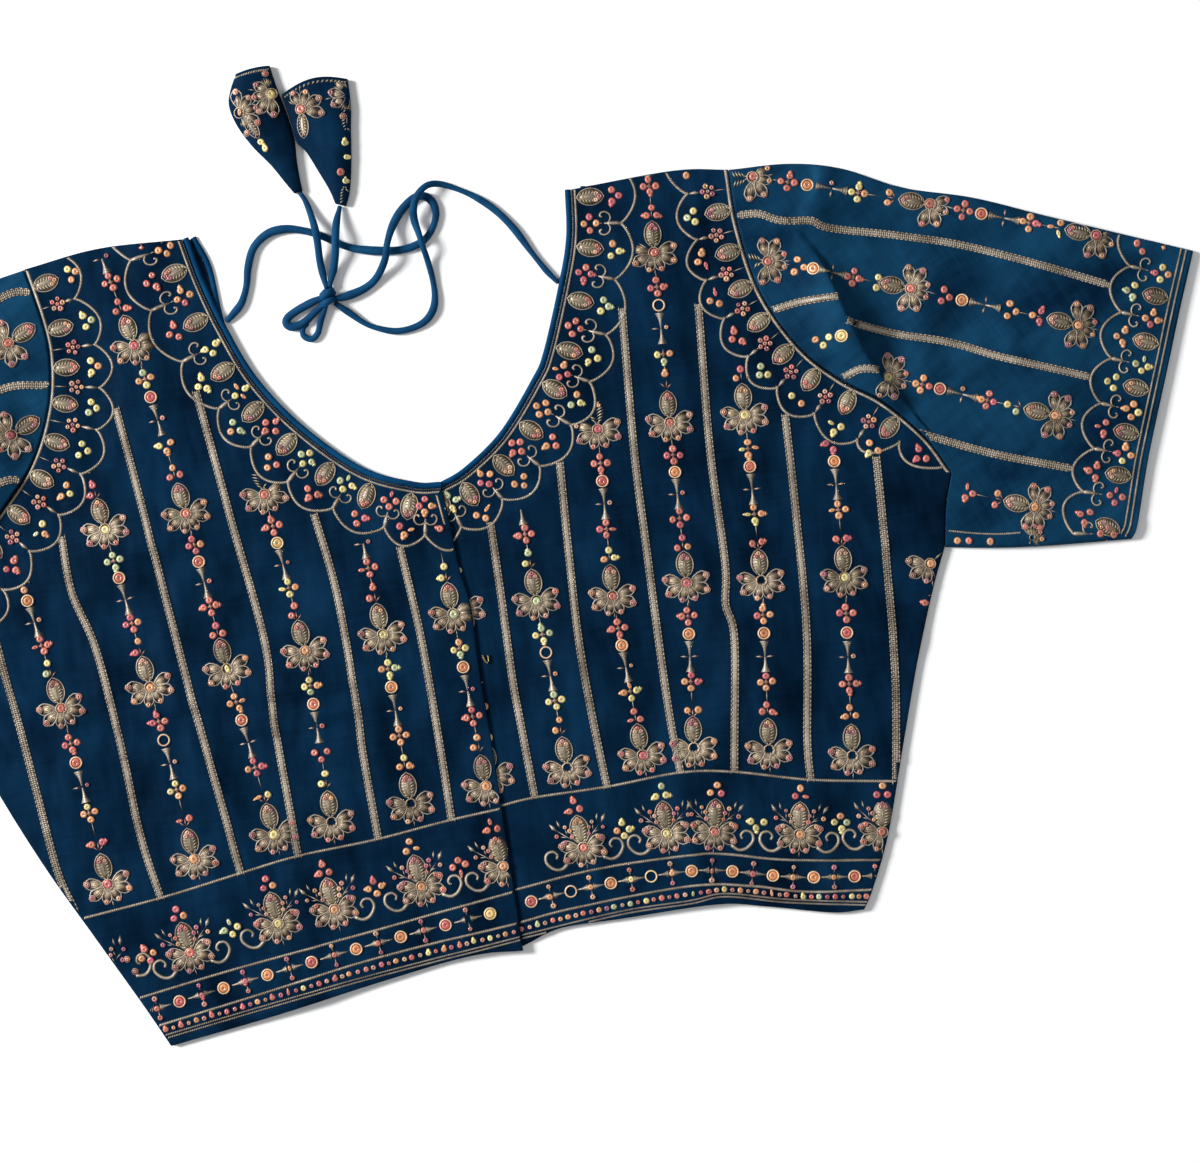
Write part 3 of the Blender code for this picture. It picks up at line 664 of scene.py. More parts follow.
def panel_grid(neck, inner_route, edges, side, fineness, columns, hem):
    """Plan points of half the body: rows from the shoulder to the hem, columns from the middle outwards."""
    seam = neck_seam(neck, side, fineness)
    rows = row_counts(fineness)
    centre = spaced((tuple(seam[-1]),) + tuple(inner_route[1:]), rows[1] + rows[2])
    inner = np.vstack([seam, centre[1:]])
    outer = outer_edge(edges, fineness)
    shares = edge_columns(columns)
    shoulder = at_shares((tuple(seam[0]),) + edges["shoulder"][2:], shares)
    return edge_rows(coons_at(shoulder, at_shares(hem, shares), inner, outer, shares))


def coons_at(top, bottom, first, last, u):
    """A Coons patch whose columns stand at uneven shares."""
    v = np.linspace(0, 1, len(first))[:, None, None]
    u = u[None, :, None]
    corners = ((1 - u) * (1 - v) * top[0] + u * (1 - v) * top[-1]
               + (1 - u) * v * bottom[0] + u * v * bottom[-1])
    return (1 - u) * first[:, None] + u * last[:, None] + (1 - v) * top[None] + v * bottom[None] - corners


def edge_rows(grid):
    """The same grid with one more row beside its first and its last, where the cloth turns over."""
    middle = grid.shape[1] // 2
    beside = []
    for edge, inner in ((grid[0], grid[1]), (grid[-1], grid[-2])):
        share = EDGE_TURN / np.linalg.norm(inner[middle] - edge[middle])
        beside.append((edge + share * (inner - edge))[None])
    return np.concatenate([grid[:1], beside[0], grid[1:-1], beside[1], grid[-1:]])


def grid_outline(grid):
    """The points once round a grid's edge."""
    return np.vstack([grid[0], grid[1:, -1], grid[-1, -2::-1], grid[-2:0:-1, 0]])


# ---------------------------------------------------------------- meshes


# Nothing lies lower than this over the surface, or nearer than this to the cloth under it
CLEARANCE = 0.02
CORD_SIDES = 12
CORD_FLATNESS = 0.74
CORD_SETTLING = 0.45
CORD_PINCH = 0.72
CORD_PINCH_LENGTH = 9.0
# The cord material's own coordinates are in centimetres along the cord
CORD_UV_SCALE = 100


def deselect_all():
    for obj in bpy.context.selected_objects:
        obj.select_set(False)


def edit_whole():
    """Goes into edit mode with all of the active object's mesh selected."""
    bpy.ops.object.mode_set(mode="EDIT")
    bpy.ops.mesh.select_all(action="SELECT")


def linked(name, data):
    """A new object in the scene."""
    obj = bpy.data.objects.new(name, data)
    bpy.context.scene.collection.objects.link(obj)
    return obj


def fitted(obj, slot=None, replaces=(), parent=None):
    """The object, which rides on the body or goes with its parent, in place of its nodes. Its slot is not used.
    """
    if parent is None:
        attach(obj, BODY)
    else:
        obj.parent = parent
    if replaces:
        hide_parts(*replaces)
    return obj


def face_outwards(mesh):
    """Drops faces that have come down to a line, and turns the rest outwards."""
    bm = bmesh.new()
    bm.from_mesh(mesh)
    bmesh.ops.dissolve_degenerate(bm, dist=1e-7, edges=bm.edges[:])
    bmesh.ops.recalc_face_normals(bm, faces=bm.faces[:])
    bm.to_mesh(mesh)
    bm.free()


def mesh_object(name, verts, faces, finish, dyes=None, **places):
    """A smooth-shaded piece from points in metres."""
    mesh = bpy.data.meshes.new(name)
    faces = np.asarray(faces, np.int32)
    starts = np.arange(0, faces.size, faces.shape[1], dtype=np.int32)
    mesh.vertices.add(len(verts))
    mesh.vertices.foreach_set("co", np.asarray(verts, np.float32).ravel())
    mesh.loops.add(faces.size)
    mesh.loops.foreach_set("vertex_index", faces.ravel())
    mesh.polygons.add(len(faces))
    mesh.polygons.foreach_set("loop_start", starts)
    mesh.polygons.foreach_set("use_smooth", np.ones(len(faces), bool))
    if dyes is not None:
        layer = mesh.color_attributes.new("dye", "FLOAT_COLOR", "POINT")
        opaque = np.column_stack([dyes, np.ones(len(dyes))]).astype(np.float32)
        layer.data.foreach_set("color", opaque.ravel())
    mesh.update(calc_edges=True)
    mesh.validate()
    face_outwards(mesh)
    mesh.materials.append(finish)
    return fitted(linked(name, mesh), **places)


def only_used(faces, count):
    """Which of so many points the faces use, and the faces with those points numbered from nought."""
    used = np.unique(faces)
    renumber = np.zeros(count, int)
    renumber[used] = np.arange(len(used))
    return used, renumber[faces]


def shell(grid, top, underside, keep=None):
    """A closed thin shell over a grid of plan points: points in metres and four-sided faces.

    top and underside are heights. Where keep is False, the grid has no cloth, and points at one place are
    one point. Along the edge the two faces close in on each other, which rounds the cloth's edge.
    """
    rows, columns = grid.shape[:2]
    keep = np.ones((rows - 1, columns - 1), bool) if keep is None else keep
    places = np.round(grid.reshape(-1, 2), 4)
    plan, first, index = np.unique(places, axis=0, return_index=True, return_inverse=True)
    index = index.reshape(rows, columns)
    quads = np.stack([index[:-1, :-1], index[1:, :-1], index[1:, 1:], index[:-1, 1:]], axis=-1)[keep]
    (ax, ay), (bx, by), (cx, cy) = (plan[quads[len(quads) // 2, i]] for i in range(3))
    if (bx - ax) * (cy - by) - (by - ay) * (cx - bx) < 0:
        quads = quads[:, ::-1]
    sides = np.concatenate([quads[:, [i, (i + 1) % 4]] for i in range(4)])
    _, once, counts = np.unique(np.sort(sides, axis=1), axis=0, return_index=True, return_counts=True)
    rim = sides[once[counts == 1]]
    high, low = top.ravel()[first], underside.ravel()[first]
    on_rim = np.zeros(len(plan), bool)
    on_rim[rim.ravel()] = True
    close = np.where(on_rim, EDGE_ROUNDING, 0.0) * (high - low)
    count = len(plan)
    walls = np.column_stack([rim[:, 1], rim[:, 0], rim[:, 0] + count, rim[:, 1] + count])
    used, faces = only_used(np.vstack([quads, quads[:, ::-1] + count, walls]), 2 * count)
    verts = np.vstack([np.column_stack([plan, high - close]), np.column_stack([plan, low + close])])
    return verts[used] * MM, faces


def tube_faces(around, rings):
    """Walls between rings of points, and the two end caps.

    Each cap fans in to a point of its own, and those two come after the rings' points. A cap's faces have
    four corners too, the last two at that point.
    """
    i = np.arange(around)
    n = (i + 1) % around
    wall = np.column_stack([i, n, n + around, i + around])
    last = (rings - 1) * around
    centre = np.full(around, rings * around)
    caps = [np.column_stack([n, i, centre, centre]),
            np.column_stack([i + last, n + last, centre + 1, centre + 1])]
    return np.concatenate([wall + k * around for k in range(rings - 1)]), np.concatenate(caps)


def flat_tube(outer, inner, closed_start=False):
    """A flattened cloth tube from two stacks of rings: the outer skin, and the inner one that it closes onto.

    Each ring goes once round. With closed_start the first rings are closed across, and otherwise only
    their rims are joined.
    """
    around = outer.shape[1]
    i = np.arange(around)
    n = (i + 1) % around
    last_outer = (len(outer) - 1) * around
    first_inner = len(outer) * around
    last_inner = first_inner + (len(inner) - 1) * around
    faces = [
        tube_faces(around, len(outer))[0],
        tube_faces(around, len(inner))[0][:, ::-1] + first_inner,
        np.column_stack([last_outer + i, last_outer + n, last_inner + n, last_inner + i]),
    ]
    if closed_start:
        c = np.arange(around // 2)
        across = np.column_stack([c, (-c) % around, (-c - 1) % around, c + 1])
        faces += [across, across[:, ::-1] + first_inner]
    else:
        faces.append(np.column_stack([n, i, first_inner + i, first_inner + n]))
    return np.vstack([outer.reshape(-1, 3), inner.reshape(-1, 3)]) * MM, np.vstack(faces)


def round_tube(points, radius):
    """The points round a flattened cord, ring by ring, and then the two that its ends close on."""
    run = np.gradient(points, axis=0)
    run /= np.linalg.norm(run, axis=1)[:, None]
    across = np.cross(run, (0, 0, 1.0))
    across /= np.linalg.norm(across, axis=1)[:, None]
    up = np.cross(across, run)
    angles = 2 * np.pi * np.arange(CORD_SIDES) / CORD_SIDES
    ring = (np.cos(angles)[None, :, None] * across[:, None]
            + CORD_FLATNESS * np.sin(angles)[None, :, None] * up[:, None])
    verts = (points[:, None] + radius[:, None, None] * ring).reshape(-1, 3)
    ends = [points[0] - run[0] * radius[0] * 0.4, points[-1] + run[-1] * radius[-1] * 0.4]
    return np.vstack([verts, ends])


def cord_coordinates(mesh, along):
    """The cord material's coordinates: along the cord, and the share of a turn round it."""
    layer = mesh.uv_layers.new(name="around")
    for polygon in mesh.polygons:
        around = [mesh.loops[k].vertex_index % CORD_SIDES for k in polygon.loop_indices]
        wraps = max(around) - min(around) > CORD_SIDES / 2
        for k in polygon.loop_indices:
            vertex = mesh.loops[k].vertex_index
            station = min(vertex // CORD_SIDES, len(along) - 1)
            turn = vertex % CORD_SIDES
            turn = turn + CORD_SIDES if wraps and turn < CORD_SIDES / 2 else turn
            layer.data[k].uv = (along[station] * MM * CORD_UV_SCALE, turn / CORD_SIDES)


def cord_object(name, route, diameter, swell, step, replaces):
    """A sewn tie string along a smooth curve: flattened, uneven in width, and drawn in at both ends."""
    points = stepped(route, step)
    points[:, 2] -= CORD_SETTLING
    along = lengths_along(points)
    wave = 1 + swell * (np.sin(along / 9.3 + len(name)) * 0.65 + np.sin(along / 3.9) * 0.35)
    from_end = smooth_step(np.minimum(along, along[-1] - along), 0, CORD_PINCH_LENGTH)
    verts = round_tube(points, diameter / 2 * wave * (CORD_PINCH + (1 - CORD_PINCH) * from_end))
    verts[:, 2] = np.maximum(verts[:, 2], CLEARANCE)
    walls, caps = tube_faces(CORD_SIDES, len(points))
    mesh = bpy.data.meshes.new(name)
    mesh.from_pydata((verts * MM).tolist(), [], walls.tolist() + caps[:, :3].tolist())
    cord_coordinates(mesh, along)
    mesh.shade_smooth()
    face_outwards(mesh)
    mesh.materials.append(cord_finish())
    return fitted(linked(name, mesh), "tie", replaces), points, along[-1]


# ---------------------------------------------------------------- stitches and stamps


WHITE = (1.0, 1.0, 1.0)


class Stamp:
    """A motif in its own millimetres: u right, v towards its tip, w off the cloth.

    Each bit is one closed solid, and bits has its number for each point.
    """

    def __init__(self, verts, tris, dyes, bits):
        self.verts = np.asarray(verts, float)
        self.tris = np.asarray(tris, int)
        self.dyes = np.asarray(dyes, float)
        self.bits = np.asarray(bits, int)

    def turned(self, angle=0.0, at=(0, 0), size=1.0, mirror=False):
        """A copy, turned by an angle in radians and moved to a place."""
        verts = self.verts * (np.array([-1, 1, 1]) if mirror else 1) * size
        tris = self.tris[:, ::-1] if mirror else self.tris
        c, s = math.cos(angle), math.sin(angle)
        plan = verts[:, :2] @ np.array([[c, s], [-s, c]]) + np.array(at)
        return Stamp(np.column_stack([plan, verts[:, 2]]), tris, self.dyes, self.bits)


def joined(stamps):
    """Several stamps as one."""
    verts, tris, dyes, bits = [], [], [], []
    count = bit = 0
    for stamp in stamps:
        verts.append(stamp.verts)
        tris.append(stamp.tris + count)
        dyes.append(stamp.dyes)
        bits.append(stamp.bits + bit)
        count += len(stamp.verts)
        bit += int(stamp.bits.max()) + 1
    return Stamp(np.vstack(verts), np.vstack(tris), np.vstack(dyes), np.concatenate(bits))


GRAIN_TRIS = np.array([(1, 0, 2), (2, 0, 3), (3, 0, 1), (1, 2, 4), (2, 3, 4), (3, 1, 4)])


def grains(starts, ends, width, height, tone=1.0, dye=WHITE):
    """Single stitches from starts to ends, each a closed grain that tapers to both tips."""
    starts = np.atleast_2d(np.asarray(starts, float))
    ends = np.atleast_2d(np.asarray(ends, float))
    count = len(starts)
    width = np.broadcast_to(width, count)
    tone = np.broadcast_to(tone, count)
    run = ends - starts
    run = run / np.maximum(np.linalg.norm(run, axis=1), 1e-6)[:, None]
    side = left_of(run) * width[:, None] / 2
    middle = (starts + ends) / 2
    flat = np.zeros(count)
    high = np.full(count, float(height))
    corners = ((starts, flat), (middle + side, flat), (middle, high), (middle - side, flat), (ends, flat))
    points = np.stack([np.column_stack(corner) for corner in corners], axis=1)
    tris = GRAIN_TRIS[None] + 5 * np.arange(count)[:, None, None]
    dyes = np.repeat(tone[:, None] * np.asarray(dye, float), 5, axis=0)
    return Stamp(points.reshape(-1, 3), tris.reshape(-1, 3), dyes, np.repeat(np.arange(count), 5))


def stroke(route, width, height, tone=1.0, closed=False, dye=WHITE):
    """A thread along a route, three-sided in section with its flat side down."""
    line = np.asarray(route, float)
    count = len(line)
    if closed:
        run = np.roll(line, -1, axis=0) - np.roll(line, 1, axis=0)
        run /= np.linalg.norm(run, axis=1)[:, None]
        across = left_of(run)
    else:
        across = side_normals(line)
    width = np.broadcast_to(width, count)[:, None]
    flat = np.zeros(count)
    high = height * width[:, 0] / width.max()
    corners = ((line + across * width / 2, flat), (line, high), (line - across * width / 2, flat))
    points = np.stack([np.column_stack(corner) for corner in corners], axis=1)
    tris = []
    for i in range(count if closed else count - 1):
        n = (i + 1) % count
        for j in range(3):
            k = (j + 1) % 3
            tris += [(3 * i + j, 3 * i + k, 3 * n + k), (3 * i + j, 3 * n + k, 3 * n + j)]
    if not closed:
        last = 3 * (count - 1)
        tris += [(0, 2, 1), (last, last + 1, last + 2)]
    dyes = tone * np.tile(dye, (3 * count, 1))
    return Stamp(points.reshape(-1, 3), tris, dyes, np.zeros(3 * count, int))


def arc(centre, radius, first, last, steps):
    """Plan points along an arc, its angles in degrees from +u."""
    angles = np.radians(np.linspace(first, last, steps + 1))
    return np.column_stack([centre[0] + radius * np.cos(angles), centre[1] + radius * np.sin(angles)])


def ring_line(centre, radius, steps):
    """Plan points once round a circle."""
    return arc(centre, radius, 0, 360 - 360 / steps, steps - 1)


def each_its_own(value, count, wide):
    """A value for each of count things, from one for all of them, one for each, or a row for each."""
    value = np.asarray(value, float)
    return np.broadcast_to(value[:, None] if value.ndim == 1 else value, (count, wide))


class Needlework:
    """Motifs gathered in plan, and then laid on one face of the cloth as one mesh."""

    def __init__(self, face, seed):
        self.face = face
        self.parts = []
        self.rng = np.random.default_rng(seed)

    def sew(self, stamp, at, turn=0.0, size=1.0, dye=1.0, tilt=0.0, lift=0.0):
        """Copies of a stamp at plan points, each with its own turn (radians), size and dye."""
        at = np.atleast_2d(np.asarray(at, float))
        count, corners = len(at), len(stamp.verts)
        if not count:
            return
        turn = np.broadcast_to(turn, count)[:, None]
        size, dye = (each_its_own(value, count, wide) for value, wide in ((size, 2), (dye, 3)))
        u = stamp.verts[None, :, 0] * size[:, :1]
        v = stamp.verts[None, :, 1] * size[:, 1:]
        w = stamp.verts[None, :, 2] + lift + np.zeros((count, 1))
        if tilt:
            lean = self.rng.uniform(-tilt, tilt, (count, 2))
            slope = lean[:, :1] * u + lean[:, 1:] * v
            w = w + slope - slope.min(axis=1, keepdims=True)
        x = at[:, :1] + u * np.cos(turn) - v * np.sin(turn)
        y = at[:, 1:] + u * np.sin(turn) + v * np.cos(turn)
        verts = np.stack([x, y, w], axis=-1).reshape(-1, 3)
        tris = (stamp.tris[None] + corners * np.arange(count)[:, None, None]).reshape(-1, 3)
        dyes = (stamp.dyes[None] * dye[:, None]).reshape(-1, 3)
        bits = (stamp.bits[None] + (stamp.bits.max() + 1) * np.arange(count)[:, None]).ravel()
        self.parts.append(Stamp(verts, tris, dyes, bits))

    def lay(self, name, finish, extra=None):
        """Lays everything on the face as one mesh.

        A bit that would stand over the cloth's edge, or fail the extra test of x and y, is left out whole.
        """
        if not self.parts:
            return
        whole = joined(self.parts)
        x, y, w = whole.verts.T
        held = inside(x, y, self.face.outline)
        if extra is not None:
            held &= extra(x, y)
        off = np.zeros(whole.bits.max() + 1, bool)
        off[whole.bits[~held]] = True
        used, tris = only_used(whole.tris[~off[whole.bits[whole.tris[:, 0]]]], len(x))
        x, y, w = x[used], y[used], w[used]
        z = np.maximum(self.face.height(x, y) + self.face.up * (w + CLEARANCE), CLEARANCE)
        if self.face.up < 0:
            tris = tris[:, ::-1]
        verts = np.column_stack([x, y, z]) * MM
        mesh_object(name, verts, tris, finish, whole.dyes[used], parent=self.face.cloth)


# ---------------------------------------------------------------- motifs


ROSE_THREAD = (1.16, 0.78, 0.76)
GOLD_THREAD = (1.05, 0.98, 0.84)
BROWN_THREAD = (1.0, 0.9, 0.78)
OLIVE_THREAD = (0.96, 0.97, 0.82)

# Petals round a flower's centre. Columns: angle from straight down in degrees, size
PETALS = ((-104, 1.12), (-63, 1.1), (-19, 0.92), (23, 0.92), (66, 1.12), (106, 1.1))
PETAL_LOOP = 9.6
FLOWER_RISE = 1.2
LEAF_FOOT = 2.6
HEM_LEAF = 14.8


def petal():
    """One petal that points up: stitches fan out inside a curled thread, and a round loop is at its tip."""
    widths = np.array([1.6, 3.4, 4.6, 2.4])
    pad = stroke([(0, 1.6), (0, 3.6), (0, 6), (0, 8)], widths, 0.3, 0.78, dye=BROWN_THREAD)
    spread = np.linspace(-1, 1, 6)
    starts = np.column_stack([spread * 0.8, 1.9 + 0 * spread])
    ends = np.column_stack([spread * 2.8, 9.0 - 1.6 * spread**2])
    dye = np.array([GOLD_THREAD, BROWN_THREAD, GOLD_THREAD, GOLD_THREAD, BROWN_THREAD, GOLD_THREAD])
    fan = grains(starts, ends, 1.0, 0.45, np.array([1.0, 0.9, 1.25, 0.95, 1.0, 1.15]), dye)
    angle = 2 * np.pi * np.arange(12) / 12
    swell = (1 - np.cos(angle)) / 2
    curl = np.column_stack([3.4 * np.sin(angle) * swell**0.5, 2.0 + 8.2 * swell])
    outline = stroke(curl, 0.75, 0.5, 1.15, True)
    loop = stroke(ring_line((0, PETAL_LOOP), 1.35, 7), 0.8, 0.6, 1.15, True, ROSE_THREAD)
    return joined([pad, fan, outline, loop])


def flower():
    """Six looped petals round a centre, open at the top where the leaf stands."""
    single = petal()
    petals = [single.turned(math.radians(180 + angle), (0, FLOWER_RISE), size) for angle, size in PETALS]
    centre = stroke(ring_line((0, FLOWER_RISE), 2.7, 10), 0.8, 0.75, 1.25, True, (1.15, 0.98, 0.86))
    return joined(petals + [centre, grains([(0, -6)], [(0, -11)], 0.6, 0.4)])


def leaf(length=13.4, width=8.4):
    """A blunt leaf of stitches that slant up from its rib: olive at its foot and rose at its tip."""
    t = np.linspace(0, 1, 10)
    half = width / 2 * (4 * t * (1 - t)) ** 0.66
    right = np.column_stack([half, length * t])
    left = np.column_stack([-half, length * t])[-2:0:-1]
    outline = stroke(np.vstack([right, left]), 0.7, 0.5, 1.02, True)
    pad = stroke(np.column_stack([0 * t, length * t])[1:-1], 2 * half[1:-1], 0.35, 0.66, dye=GOLD_THREAD)
    rise = np.arange(-0.6, length - 2.2, 1.5)
    reach = np.interp(rise + 1.5, length * t, half)
    starts = np.column_stack([0 * rise, np.maximum(rise, 0.1)])
    share = (rise / length)[:, None]
    dye = np.where(share < 0.4, OLIVE_THREAD, np.where(share > 0.72, ROSE_THREAD, WHITE))
    tips = [np.column_stack([side * reach, rise + 1.9]) for side in (-1, 1)]
    fill = [grains(starts, ends, 1.0, 0.65, 1.2, dye) for ends in tips]
    rib = grains([(0, 0.3)], [(0, length - 1)], 0.7, 0.7, 1.0)
    return joined([pad, outline, rib] + fill)


def cone():
    """A trumpet of stitches: tiers at its broad foot, drawn out to a thread at its tip."""
    rise = np.array([0, 0.5, 1.6, 2.8, 4.2, 7.6])
    body = stroke(np.column_stack([0 * rise, rise]), np.array([4.4, 4.2, 3.1, 2.1, 1.4, 0.8]), 0.5, 0.95)
    rise, half = np.array([0.2, 1.5, 2.8]), np.array([2.6, 1.9, 1.3])
    tiers = grains(np.column_stack([-half, rise]), np.column_stack([half, rise]), 0.9, 0.7, 1.15)
    return joined([body, tiers])


def cross(right=4.8):
    """Little leaves across a thread."""
    ends = [(-4.8, 0.3)] + [(right, 0.3)] * (right > 0)
    return grains([(-0.6 * np.sign(-u), 0) for u, _ in ends], ends, 1.3, 0.5, 1.1, (1.08, 0.92, 0.9))


def thread(length):
    return grains([(0, -length / 2)], [(0, length / 2)], 0.6, 0.4)


def tapered(route, first, last, tone=1.0):
    """A scroll of thread that thins from one end to the other."""
    line = smooth_curve(route, 3)
    return stroke(line, np.linspace(first, last, len(line)), 0.6, tone)


NECK_CURL = ((0.4, 15.2), (2.2, 16.2), (4.4, 15.7), (5.7, 13.7), (5.2, 11.7), (3.7, 11.2), (3.1, 12.3))
HEM_SCROLL = (
    (8.9, -5.1), (12.6, -7.4), (16.6, -6.4), (19.6, -2.4), (18.7, 1.4), (15.4, 2.2), (13.4, 0.2),
    (14.2, -1.8),
)


def both_sides(stamp):
    """The stamp and its mirror image."""
    return joined([stamp, stamp.turned(mirror=True)])


def neck_cusp():
    """The wedge that drops from a cusp of the neck's scallops, with a curl on each side."""
    wedge = stroke([(0, 21.3), (0, 19), (0, 16.6), (0, 13.2)], np.array([1.6, 2.3, 1.9, 0.7]), 0.7, 1.1)
    return joined([wedge, both_sides(tapered(NECK_CURL, 0.9, 1.2, 1.1)), thread(3.4).turned(at=(0, 11.6))])


def armhole_cusp():
    """A wedge under the cusp, and the thin stem that carries the dotted flower."""
    wedge = grains([(0, 20.5)], [(0, 13.5)], 2.1, 0.7, 1.1)
    return joined([wedge, grains([(0, 8.3)], [(0, 0.8)], 0.7, 0.4)])


def hem_sprig():
    """One side sprig of a hem motif: a stem with side stems, and a small leaf at its end."""
    stem = grains([(2.5, 4), (4.2, 6.2), (6.5, 8.3), (5.5, 7.4)],
                  [(11.6, 12.2), (4.6, 9.6), (7, 12), (10.4, 8.6)], 0.7, 0.4, 1.0)
    tip = grains([(11.2, 11.4), (9.2, 12.8)], [(14.4, 16), (10.4, 17)], [2.0, 1.2], 0.5, 1.15)
    return joined([stem, tip])


def hem_motif():
    tall_leaf = leaf(HEM_LEAF, 9.4).turned(at=(0, FLOWER_RISE + LEAF_FOOT - 1))
    return joined([flower(), tall_leaf, both_sides(hem_sprig())])


def hem_scroll():
    return tapered(HEM_SCROLL, 1.9, 1.3, 1.12)


def star():
    """A star between two medallions of the hem's row: cones that point sideways, and a thread up and down."""
    side = cone().turned(-math.pi / 2, (1.5, 0), 0.74)
    return joined([both_sides(side), grains([(0, 1.2), (0, -1.2)], [(0, 6.6), (0, -6.6)], 0.8, 0.4)])


def v_threads():
    return grains([(0, 0)] * 3, [(-3.2, 3), (3.2, 2.6), (0.3, 4.4)], 0.8, 0.45, 1.0, ROSE_THREAD)


FOUR = ((0, 3.2), (0, -3.2), (-3.2, 0), (3.2, 0))
THREE_UP = ((0, 3.6), (-2.6, -0.6), (2.6, -0.6))
THREE_DOWN = ((0, -3.0), (-2.9, 0.7), (2.9, 0.7))
TWO = ((-2.6, 0), (2.6, 0))
PETAL_BEADS = tuple(
    (size * PETAL_LOOP * math.sin(math.radians(angle)),
     FLOWER_RISE - size * PETAL_LOOP * math.cos(math.radians(angle)))
    for angle, size in PETALS
)
SPRIG_BEADS = ((4.3, 7.4), (8.3, 5.2), (6.9, 12.9), (11.8, 9.2), (4.9, 10.6))
LEAF_BEADS = ((0, 11.2), (-1.5, 9.6), (1.6, 9.4))
# Columns: u, v, size
FLOWER_CENTRE = ((0, FLOWER_RISE, 1.24),)


def motif_table():
    """Each motif's threads, and where its sequins, medallions and beads are."""
    open_flower = flower()
    # Two rose threads in a cross under the four sequins, darkened to 0.6: partly the thread that holds them,
    # partly painted shade between the sequins
    rose_thread_and_painted_shade = grains([(0, -3), (-3, 0)], [(0, 3), (3, 0)], 1.8, 0.3, 0.6, ROSE_THREAD)
    return {
        "thread": (thread(5), (), (), ()),
        "long thread": (thread(11), (), (), ()),
        "four sequins": (rose_thread_and_painted_shade, FOUR, (), ()),
        "three sequins": (None, THREE_DOWN, (), ()),
        "three above leaf": (thread(5).turned(at=(0, 0.4)), THREE_UP, (), ()),
        "two above leaf": (v_threads().turned(at=(0, -3.6)), TWO, (), ()),
        "one above leaf": (v_threads().turned(at=(0, -2.6)), ((-2.3, -0.4), (0.2, 4.6)), (), ()),
        "medallion": (None, (), ((0, 0),), ()),
        "cone down": (cone().turned(math.pi, at=(0, 3.8)), (), (), ()),
        "cone up": (cone().turned(at=(0, -3.8)), (), (), ()),
        "cross": (cross(), (), (), ()),
        "cross and bead": (cross(0), (), (), ((2.7, 0.5),)),
        "leaf": (leaf(), (), (), LEAF_BEADS),
        "slim leaf": (leaf(12.6, 5.6), (), (), ()),
        "flower": (open_flower, FLOWER_CENTRE, (), PETAL_BEADS),
        "open flower": (open_flower, (), (), PETAL_BEADS),
    }


SEQUIN_RADIUS = 2.05
SEQUIN_HOLE = 0.3
SEQUIN_SIDES = 9
SEQUIN_FILM = 0.25
# From the rim to the hole. Columns: share of the radius so far, rise
SEQUIN_STEPS = ((0.62, 0.42), (SEQUIN_HOLE / SEQUIN_RADIUS / 0.62, -0.05))
BEAD_RADIUS = 1.0
BEAD_FLATNESS = 0.8
MEDALLION_RADIUS = 3.3


def model_sequin():
    """A cup sequin: a film ring that rises from its rim to its hole, modelled once."""
    deselect_all()
    bpy.ops.mesh.primitive_circle_add(vertices=SEQUIN_SIDES, radius=SEQUIN_RADIUS * MM)
    obj = bpy.context.object
    edit_whole()
    for share, rise in SEQUIN_STEPS:
        bpy.ops.mesh.extrude_edges_move(TRANSFORM_OT_translate={"value": (0, 0, rise * MM)})
        bpy.ops.transform.resize(value=(share, share, 1))
    bpy.ops.mesh.extrude_edges_move(TRANSFORM_OT_translate={"value": (0, 0, -SEQUIN_FILM * MM)})
    bpy.ops.object.mode_set(mode="OBJECT")
    bm = bmesh.new()
    bm.from_mesh(obj.data)
    for edge in bm.edges:
        edge.select_set(False)
    for edge in bm.edges:
        edge.select_set(edge.is_boundary)
    bm.to_mesh(obj.data)
    bm.free()
    bpy.ops.object.mode_set(mode="EDIT")
    bpy.ops.mesh.select_mode(type="EDGE")
    bpy.ops.mesh.bridge_edge_loops()
    bpy.ops.mesh.select_all(action="SELECT")
    bpy.ops.mesh.quads_convert_to_tris()
    bpy.ops.mesh.normals_make_consistent(inside=False)
    bpy.ops.object.mode_set(mode="OBJECT")
    rim, hole = SEQUIN_RADIUS * 0.8, 0.8
    return taken_as_stamp(obj, lambda r: np.where(r > rim, 1.12, np.where(r > hole, 0.9, 0.62)))


def model_bead():
    """A seed bead lying on its side over its hole, modelled once."""
    deselect_all()
    bpy.ops.mesh.primitive_torus_add(
        major_segments=7, minor_segments=4, major_radius=0.7 * BEAD_RADIUS * MM,
        minor_radius=0.52 * BEAD_RADIUS * MM, location=(0, 0, 0.4 * BEAD_RADIUS * MM))
    obj = bpy.context.object
    bpy.ops.object.transform_apply(location=True, rotation=True, scale=True)
    edit_whole()
    bpy.ops.transform.resize(value=(1, 1, BEAD_FLATNESS))
    bpy.ops.mesh.quads_convert_to_tris()
    bpy.ops.object.mode_set(mode="OBJECT")
    return taken_as_stamp(obj, lambda r: np.where(r < BEAD_RADIUS * 0.5, 0.8, 1.05))


def taken_as_stamp(obj, tone):
    """The stamp of a modelled bit, with its tone by distance from its middle. The object is then removed."""
    mesh = obj.data
    verts = np.array([v.co for v in mesh.vertices]) / MM
    tris = np.array([p.vertices for p in mesh.polygons])
    verts[:, 2] -= verts[:, 2].min()
    tones = tone(np.hypot(verts[:, 0], verts[:, 1]))
    bpy.data.objects.remove(obj, do_unlink=True)
    bpy.data.meshes.remove(mesh)
    return Stamp(verts, tris, tones[:, None] * np.ones(3), np.zeros(len(verts), int))


